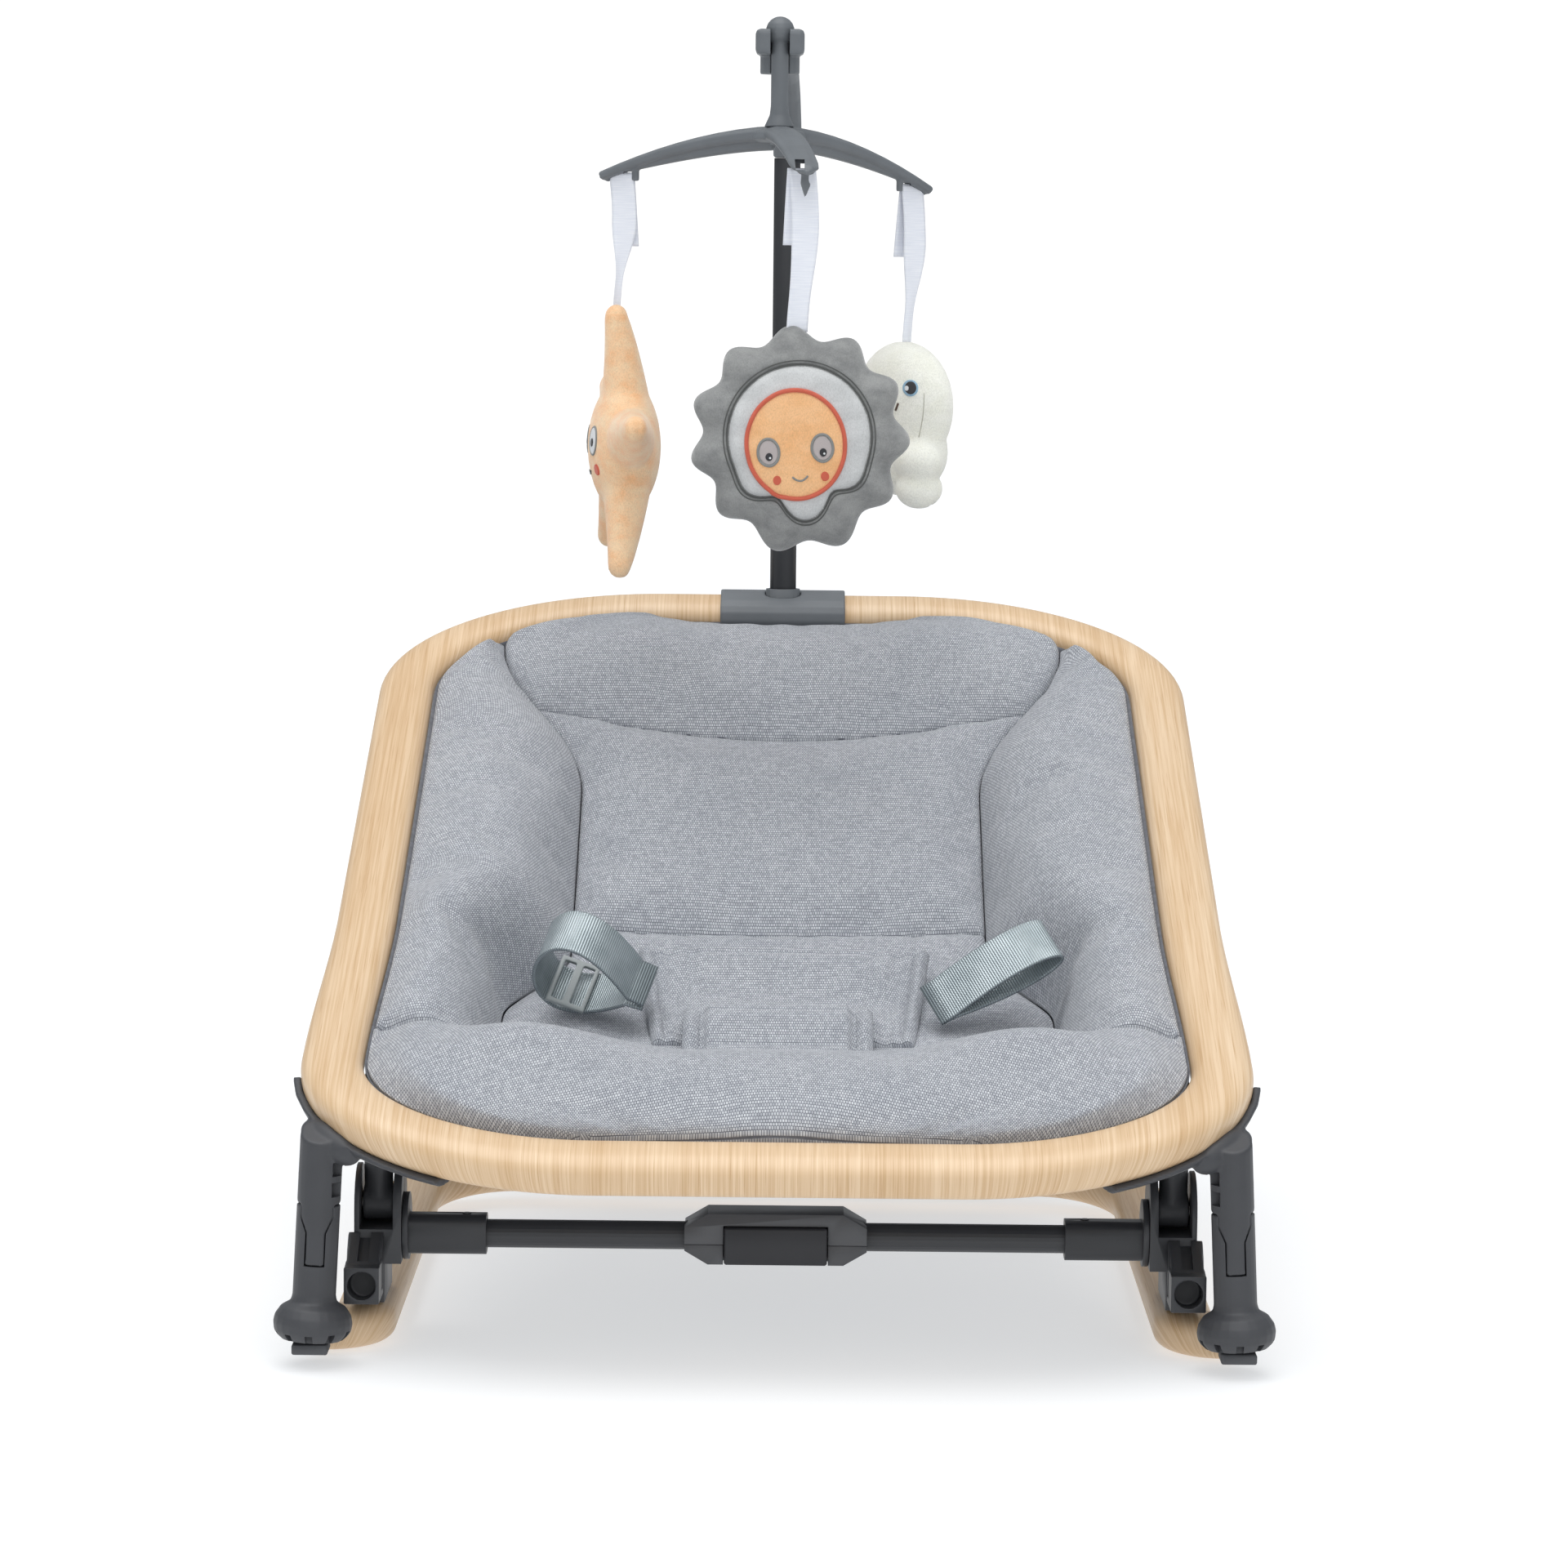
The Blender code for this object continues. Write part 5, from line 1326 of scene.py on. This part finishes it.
def tube(path, radius, closed=False, segments=8):
    """A round cord along a path of points."""
    path = [Vector(spot) for spot in path]
    bm = bmesh.new()
    rings = []
    count = len(path)
    normal = None
    for i, spot in enumerate(path):
        before = path[i - 1] if closed or i else path[0]
        after = path[(i + 1) % count] if closed or i < count - 1 else path[-1]
        along = (after - before).normalized()
        if normal is None:
            normal = along.orthogonal().normalized()
        normal = (normal - along * normal.dot(along)).normalized()
        side = along.cross(normal)
        ring = []
        for k in range(segments):
            angle = 2 * math.pi * k / segments
            ring.append(bm.verts.new(spot + (normal * math.cos(angle) + side * math.sin(angle)) * radius))
        rings.append(ring)
    bridge(bm, rings, closed)
    if closed:
        bmesh.ops.recalc_face_normals(bm, faces=bm.faces)
    else:
        capped(bm, rings)
    return bm


class Face:
    """Puts embroidery and patches on a toy: flat drawings thrown onto its surface along a direction."""

    def __init__(self, toy, body, centre, right, up):
        self.toy, self.body, self.centre = toy, body, Vector(centre)
        self.right, self.up = Vector(right).normalized(), Vector(up).normalized()
        self.ahead = self.up.cross(self.right).normalized()

    def on_surface(self, a, b, lift=0.0):
        start = self.centre + self.right * a + self.up * b - self.ahead * 0.1
        hit, place, normal, _ = self.toy.ray_cast(start, self.ahead)
        if not hit:
            return start + self.ahead * 0.1
        return place + normal * lift

    def cord(self, name, points, radius, material, closed=False, lift=0.0):
        path = [self.on_surface(a, b, lift + radius * 0.25) for a, b in points]
        return piece(name, tube(path, radius, closed), self.body, material)

    def patch(self, name, centre, reach_at, lift, material, rings=20, segments=96):
        """A filled shape, given by its reach at each angle, raised by lift and sunk at its edge."""
        bm = bmesh.new()
        grid = []
        for k in range(1, rings + 1):
            share = (k / rings) ** 0.6
            height = lift * (1 - share**24) - 0.0004 * share**40
            row = []
            for j in range(segments):
                angle = 2 * math.pi * j / segments
                reach = reach_at(angle) * share
                spot = (centre[0] + reach * math.cos(angle), centre[1] + reach * math.sin(angle))
                row.append(bm.verts.new(self.on_surface(*spot, height)))
            grid.append(row)
        middle = bm.verts.new(self.on_surface(*centre, lift))
        for j in range(segments):
            m = (j + 1) % segments
            bm.faces.new((middle, grid[0][j], grid[0][m]))
            for k in range(rings - 1):
                bm.faces.new((grid[k][j], grid[k + 1][j], grid[k + 1][m], grid[k][m]))
        bmesh.ops.recalc_face_normals(bm, faces=bm.faces)
        return piece(name, bm, self.body, material)


def ellipse(half_width, half_height, lean=0.0):
    def reach_at(angle):
        across, up = math.cos(angle - lean) / half_width, math.sin(angle - lean) / half_height
        return 1 / math.hypot(across, up)

    return reach_at


def outline(centre, reach_at, count=120, grow=0.0):
    points = []
    for i in range(count):
        angle = 2 * math.pi * i / count
        reach = reach_at(angle) + grow
        points.append((centre[0] + reach * math.cos(angle), centre[1] + reach * math.sin(angle)))
    return points


def bell(angle, centre, width):
    """1 at centre, falling to 0 over width, all in degrees."""
    gap = (math.degrees(angle) - centre + 180) % 360 - 180
    return math.exp(-((gap / width) ** 2))


def lion_reach(angle):
    """A mane of eleven scallops, a little longer at the chin."""
    chin = max(0.0, -math.sin(angle)) ** 6
    scallop = math.cos(11 * (angle - math.pi / 2) + 0.35 * math.sin(2 * angle))
    return 0.0610 + 0.0042 * scallop + 0.0050 * chin


def field_reach(angle):
    """The pale field round the lion's face: round above, with two jaw corners and a pointed chin."""
    chin = 0.0075 * bell(angle, -90, 17)
    jaws = 0.0030 * bell(angle, -140, 13) + 0.0020 * bell(angle, -42, 13)
    dips = 0.0052 * bell(angle, -115, 11) + 0.0052 * bell(angle, -64, 11)
    return 0.0425 + chin + jaws - dips


def make_lion():
    place = toy_place(0, 0.4860, 0.0) @ Matrix.Rotation(math.radians(-5.5), 4, "Y")
    half = 0.0190
    segments, rings = 220, 46
    bm = bmesh.new()
    for facing in (-1, 1):
        grid = []
        for k in range(rings):
            share = (k / (rings - 1)) ** 0.8
            row = []
            for j in range(segments):
                angle = 2 * math.pi * j / segments
                reach = lion_reach(angle) * share
                depth = half * math.sqrt(max(1 - share ** (8 / 3), 0))
                gap = reach - field_reach(angle)
                groove = 0.0026 * math.exp(-((gap / 0.0024) ** 2)) if facing < 0 else 0
                lobe = 0.0018 * math.cos(11 * (angle - math.pi / 2)) * smooth((share - 0.72) / 0.2)
                depth = max(depth - groove + lobe * (1 - share) * 4, 0)
                spot = (reach * math.cos(angle), facing * depth, reach * math.sin(angle))
                row.append(bm.verts.new(spot))
            grid.append(row)
        bridge(bm, grid)
    bmesh.ops.remove_doubles(bm, verts=bm.verts, dist=0.00003)
    bmesh.ops.recalc_face_normals(bm, faces=bm.faces)
    bmesh.ops.transform(bm, matrix=place, verts=bm.verts)
    lion = piece("lion_mane", bm, "lion", GREY_VELOUR, ("lion_plush",))
    bpy.context.view_layer.update()
    middle = place.to_translation()
    turned = place.to_3x3()
    face = Face(lion, "lion", middle, turned @ Vector((1, 0, 0)), turned @ Vector((0, 0, 1)))
    face.patch("lion_field", (0, 0), lambda angle: field_reach(angle) - 0.0006, 0.0007, PALE_VELOUR, 30, 160)
    face.cord("lion_field_seam", outline((0, 0), field_reach, 220), 0.0006, DARK_THREAD, True)
    face.cord("lion_mane_seam", outline((0, 0), field_reach, 220, 0.0022), 0.0004, DARK_THREAD, True)
    disc = (-0.0025, -0.0040)
    face.patch("lion_face", disc, ellipse(0.0290, 0.0320), 0.0016, FACE_VELOUR, 24, 120)
    face.cord("lion_face_ring", outline(disc, ellipse(0.0287, 0.0317), 160), 0.0013, RED_THREAD, True, 0.0009)
    for name, a, b in (("left", -0.0187, -0.0072), ("right", 0.0128, -0.0072)):
        eye = ellipse(0.0062, 0.0079)
        face.patch(f"lion_eye_{name}", (a, b), eye, 0.0021, MAUVE_THREAD, 8, 40)
        face.cord(f"lion_eye_outline_{name}", outline((a, b), eye, 48), 0.0008, GREY_THREAD, True, 0.0017)
        pupil = (a + 0.0002, b - 0.0026)
        face.patch(f"lion_pupil_{name}", pupil, ellipse(0.0023, 0.0027), 0.0026, BLACK_THREAD, 5, 24)
        spark = (pupil[0] + 0.0006, pupil[1] - 0.0007)
        face.patch(f"lion_eye_light_{name}", spark, ellipse(0.0008, 0.0008), 0.0029, WHITE_THREAD, 3, 12)
    for name, a in (("left", -0.0150), ("right", 0.0128)):
        cheek = ellipse(0.0027, 0.0031)
        face.patch(f"lion_cheek_{name}", (a, -0.0238), cheek, 0.0021, RED_THREAD, 5, 24)
    smile = []
    for k in range(13):
        t = -1 + k / 6
        smile.append((-0.0015 + 0.0046 * t, -0.0252 + 0.0026 * t * t))
    face.cord("lion_smile", smile, 0.0006, GREY_THREAD, False, 0.0016)


def blob(shapes, voxel, rounds):
    """Shapes joined into one soft skin."""
    obj = loose("blob", gathered(shapes))
    rounded_skin(obj, voxel, rounds)
    return obj


def finished_blob(name, shapes, voxel, rounds, place, body, material, node):
    made = blob(shapes, voxel, rounds)
    bm = bmesh.new()
    bm.from_mesh(made.data)
    bpy.data.objects.remove(made)
    for vert in bm.verts:
        seam = math.exp(-((vert.co.y / 0.0012) ** 2))
        flat = Vector((vert.co.x, 0, vert.co.z))
        if flat.length > 0.02:
            vert.co -= flat.normalized() * 0.0007 * seam
    bmesh.ops.transform(bm, matrix=place, verts=bm.verts)
    obj = piece(name, bm, body, material, (node,))
    bpy.context.view_layer.update()
    return obj


def make_star():
    lean = math.radians(8)
    place = toy_place(2, 0.4730, -1.45)
    shapes = [ellipsoid((0, -0.001, 0), (0.040, 0.0225, 0.042))]
    for k in range(5):
        angle = math.pi / 2 - lean + 2 * math.pi * k / 5
        tip = Vector((math.cos(angle), 0, math.sin(angle)))
        steps = 26
        for i in range(steps + 1):
            t = i / steps
            radius = 0.0265 * (1 - t) + 0.0085 * t
            depth = 0.0190 * (1 - t) + 0.0075 * t
            sag = Vector((0, -0.0075 * t * t * abs(tip.z), 0))
            ball = ellipsoid(tip * (0.0800 * t) + sag, (radius, depth, radius), segments=24)
            shapes.append(ball)
    star = finished_blob(
        "star_velour", shapes, 0.0015, 14, place, "star", ORANGE_VELOUR, "star_plush"
    )
    turned = place.to_3x3()
    right, up = turned @ Vector((1, 0, 0)), turned @ Vector((0, 0, 1))
    face = Face(star, "star", place.to_translation(), right, up)
    for name, sign in (("near", 1), ("far", -1)):
        eye, white = (sign * 0.0150, 0.0040), ellipse(0.0058, 0.0085)
        face.patch(f"star_eye_{name}", eye, white, 0.0008, WHITE_THREAD, 8, 36)
        face.cord(f"star_eye_ring_{name}", outline(eye, white, 40), 0.0007, GREY_THREAD, True)
        pupil = (eye[0] + 0.0004, eye[1] - 0.0010)
        face.patch(f"star_pupil_{name}", pupil, ellipse(0.0020, 0.0028), 0.0013, BLACK_THREAD, 5, 24)
        cheek = (sign * 0.0190, -0.0135)
        face.patch(f"star_cheek_{name}", cheek, ellipse(0.0030, 0.0036), 0.0010, RED_THREAD, 5, 24)
    smile = [(0.0050 * t / 6, -0.0170 + 0.0024 * (t / 6) ** 2) for t in range(-6, 7)]
    face.cord("star_smile", smile, 0.0005, DARK_THREAD)


def make_elephant():
    place = toy_place(1, 0.4890, -1.0)
    shapes = [
        ellipsoid((0, 0, 0.010), (0.0430, 0.0235, 0.0400)),
        ellipsoid((0, 0, -0.018), (0.0380, 0.0220, 0.0280)),
        ellipsoid((0.0290, -0.0080, -0.0225), (0.0165, 0.0150, 0.0135)),
        ellipsoid((-0.0290, -0.0080, -0.0225), (0.0165, 0.0150, 0.0135)),
        ellipsoid((0.0270, -0.0060, -0.0400), (0.0140, 0.0150, 0.0125)),
        ellipsoid((-0.0270, -0.0060, -0.0400), (0.0140, 0.0150, 0.0125)),
        ellipsoid((0, -0.0200, -0.0060), (0.0075, 0.0100, 0.0090)),
        ellipsoid((0, -0.0265, -0.0140), (0.0065, 0.0070, 0.0110)),
    ]
    elephant = finished_blob(
        "elephant_velour",
        shapes,
        0.0016,
        3,
        place,
        "elephant",
        CREAM_VELOUR,
        "elephant_plush",
    )
    towards = Vector((0.05, 1, 0)).normalized()
    right = towards.cross(Vector((0, 0, 1)))
    face = Face(elephant, "elephant", place.to_translation(), right, (0, 0, 1))
    eye = (0.0050, 0.0220)
    face.patch("elephant_eye_ring", eye, ellipse(0.0050, 0.0052), 0.0008, BLUE_THREAD, 8, 36)
    pupil = (eye[0] + 0.0004, eye[1])
    face.patch("elephant_eye", pupil, ellipse(0.0038, 0.0042), 0.0012, BLACK_THREAD, 6, 30)
    spark = (eye[0] - 0.0018, eye[1] - 0.0004)
    face.patch("elephant_eye_light", spark, ellipse(0.0013, 0.0018), 0.0016, WHITE_THREAD, 4, 16)
    mouth = [(-0.0040 + 0.0016 * t, 0.0080 + 0.0045 * t) for t in (0, 0.3, 0.6, 1)]
    face.cord("elephant_mouth", mouth, 0.0007, BROWN_THREAD)
    ear = []
    for k in range(16):
        t = k / 15
        ear.append((0.0135 - 0.0030 * t + 0.0010 * math.sin(t * math.pi), 0.0190 - 0.0270 * t))
    face.cord("elephant_ear_seam", ear, 0.0003, CREAM_SHADE)


def make_ribbon(name, index, top_of_toy, turn, twist, pinch, tail):
    """A satin strip, doubled over its hook: one layer twists down to the toy, the other ends in a tail."""
    hook = hook_point(index)
    bm = bmesh.new()
    uv = bm.loops.layers.uv.new("UVMap")
    half, thick, tail_length = 0.0080, 0.00035, 0.045
    top = hook.z + 0.0072
    outward = Vector((hook.x - HANGER.x, hook.y - HANGER.y, 0)).normalized()
    hook = hook + outward * (0.0045 if index else 0.0)

    def strip(spots):
        rings, walked = [], 0.0
        for i, (place, angle, width) in enumerate(spots):
            side = Vector((math.cos(angle), math.sin(angle), 0))
            face = Vector((-math.sin(angle), math.cos(angle), 0))
            if i:
                walked += (place - spots[i - 1][0]).length
            ring = []
            for k in range(9):
                across = -1 + k / 4
                curl = 0.0009 * (1 - across * across)
                ring.append((place + side * across * width + face * curl, across * width, walked))
            rings.append(ring)
        sheets = []
        for lift in (thick, -thick):
            sheet = []
            for (place, angle, _), ring in zip(spots, rings):
                face = Vector((-math.sin(angle), math.cos(angle), 0))
                sheet.append([(bm.verts.new(spot + face * lift), a, w) for spot, a, w in ring])
            sheets.append(sheet)
        front, back = sheets
        loops = []
        for i in range(len(spots) - 1):
            for k in range(8):
                for sheet in sheets:
                    loops.append((sheet[i][k], sheet[i][k + 1], sheet[i + 1][k + 1], sheet[i + 1][k]))
            for k in (0, 8):
                loops.append((front[i][k], back[i][k], back[i + 1][k], front[i + 1][k]))
        for i in (0, len(spots) - 1):
            for k in range(8):
                loops.append((front[i][k], front[i][k + 1], back[i][k + 1], back[i][k]))
        for corners in loops:
            made = bm.faces.new([corner[0] for corner in corners])
            for loop, (_, a, w) in zip(made.loops, corners):
                loop[uv].uv = (a, w)

    steps = 40
    length = top - top_of_toy
    main, spare = [], []
    for i in range(steps + 1):
        t = i / steps
        sway = 0.0022 * math.sin(t * math.pi * 1.4)
        place = Vector((hook.x + sway, hook.y, top - length * t))
        narrow = 1 - pinch * smooth((t - 0.35) / 0.45)
        main.append((place, turn + twist * smooth((t - 0.25) / 0.6), half * narrow))
    for i in range(steps // 2 + 1):
        t = i / (steps // 2)
        aside, behind = tail * (0.2 + 0.8 * t) * 0.0036, 0.0022 + 0.0020 * t
        place = Vector((hook.x + aside, hook.y + behind, top - tail_length * t))
        spare.append((place, turn + 0.30 * tail * t, half * (1 - 0.05 * t)))
    strip(main)
    strip(spare)
    bmesh.ops.recalc_face_normals(bm, faces=bm.faces)
    piece(name + "_satin", bm, name, SATIN, (name + "_ribbon",))


def make_toys():
    make_lion()
    make_star()
    make_elephant()
    make_ribbon("lion", 0, 0.5470, 0.0, 0.45, 0.15, -1)
    make_ribbon("elephant", 1, 0.5370, 0.60, -0.5, 0.66, -1)
    make_ribbon("star", 2, 0.5580, -0.38, 0.5, 0.72, 1)


# ---- stage --------------------------------------------------------------------------------------------
# Each lamp's tilt about X and Y and its spread, in degrees, and its strength.
LAMPS = (("above", (4, -5), 58, 2.15), ("front", (52, 14), 50, 0.72))
CAMERA_PLACE = (0.002, -2.8614, 0.603)
CAMERA_PITCH = math.radians(6.38)
CAMERA_ROLL = math.radians(0.6)
LENS, SENSOR = 112.5, 36


def make_stage():
    bm = bmesh.new()
    bmesh.ops.create_grid(bm, x_segments=1, y_segments=1, size=12)
    mesh = bpy.data.meshes.new("floor")
    bm.to_mesh(mesh)
    bm.free()
    floor = bpy.data.objects.new("floor", mesh)
    bpy.context.scene.collection.objects.link(floor)
    made = Shader("floor", roughness=0.7, Specular_IOR_Level=0.2)
    made.shader.inputs["Base Color"].default_value = (0.47, 0.475, 0.48, 1)
    made.shader.inputs["Emission Color"].default_value = (0.97, 0.985, 1.0, 1)
    made.shader.inputs["Emission Strength"].default_value = 0.55
    mesh.materials.append(made.material)

    world = bpy.data.worlds.new("studio")
    bpy.context.scene.world = world
    world.use_nodes = True
    tree = world.node_tree
    background = tree.nodes["Background"]
    backdrop = tree.nodes.new("ShaderNodeBackground")
    backdrop.inputs["Color"].default_value = (1, 1, 1, 1)
    backdrop.inputs["Strength"].default_value = 1.1
    background.inputs["Color"].default_value = (0.93, 0.965, 1.0, 1)
    background.inputs["Strength"].default_value = 0.42
    seen = tree.nodes.new("ShaderNodeLightPath")
    mix = tree.nodes.new("ShaderNodeMixShader")
    tree.links.new(seen.outputs["Is Camera Ray"], mix.inputs["Fac"])
    tree.links.new(background.outputs[0], mix.inputs[1])
    tree.links.new(backdrop.outputs[0], mix.inputs[2])
    tree.links.new(mix.outputs[0], tree.nodes["World Output"].inputs["Surface"])

    for name, tilt, spread, strength in LAMPS:
        light = bpy.data.lights.new(name, "SUN")
        light.angle = math.radians(spread)
        light.energy = strength
        lamp = bpy.data.objects.new(name, light)
        lamp.rotation_euler = (math.radians(tilt[0]), math.radians(tilt[1]), 0)
        bpy.context.scene.collection.objects.link(lamp)


def make_camera():
    pitch, roll = CAMERA_PITCH, CAMERA_ROLL
    ahead = Vector((0, math.cos(pitch), -math.sin(pitch)))
    level_up = Vector((0, math.sin(pitch), math.cos(pitch)))
    right = Vector((1, 0, 0)) * math.cos(roll) + level_up * math.sin(roll)
    up = level_up * math.cos(roll) - Vector((1, 0, 0)) * math.sin(roll)
    data = bpy.data.cameras.new("camera")
    data.sensor_width = SENSOR
    data.lens = LENS
    camera = bpy.data.objects.new("camera", data)
    turn = Matrix((right, up, -ahead)).transposed().to_4x4()
    camera.matrix_world = Matrix.Translation(CAMERA_PLACE) @ turn
    bpy.context.scene.collection.objects.link(camera)
    bpy.context.scene.camera = camera


bpy.context.scene.view_settings.view_transform = "Standard"
make_wood()
make_hardware()
make_padding()
make_sling()
make_harness()
make_toys()
make_stage()
make_camera()
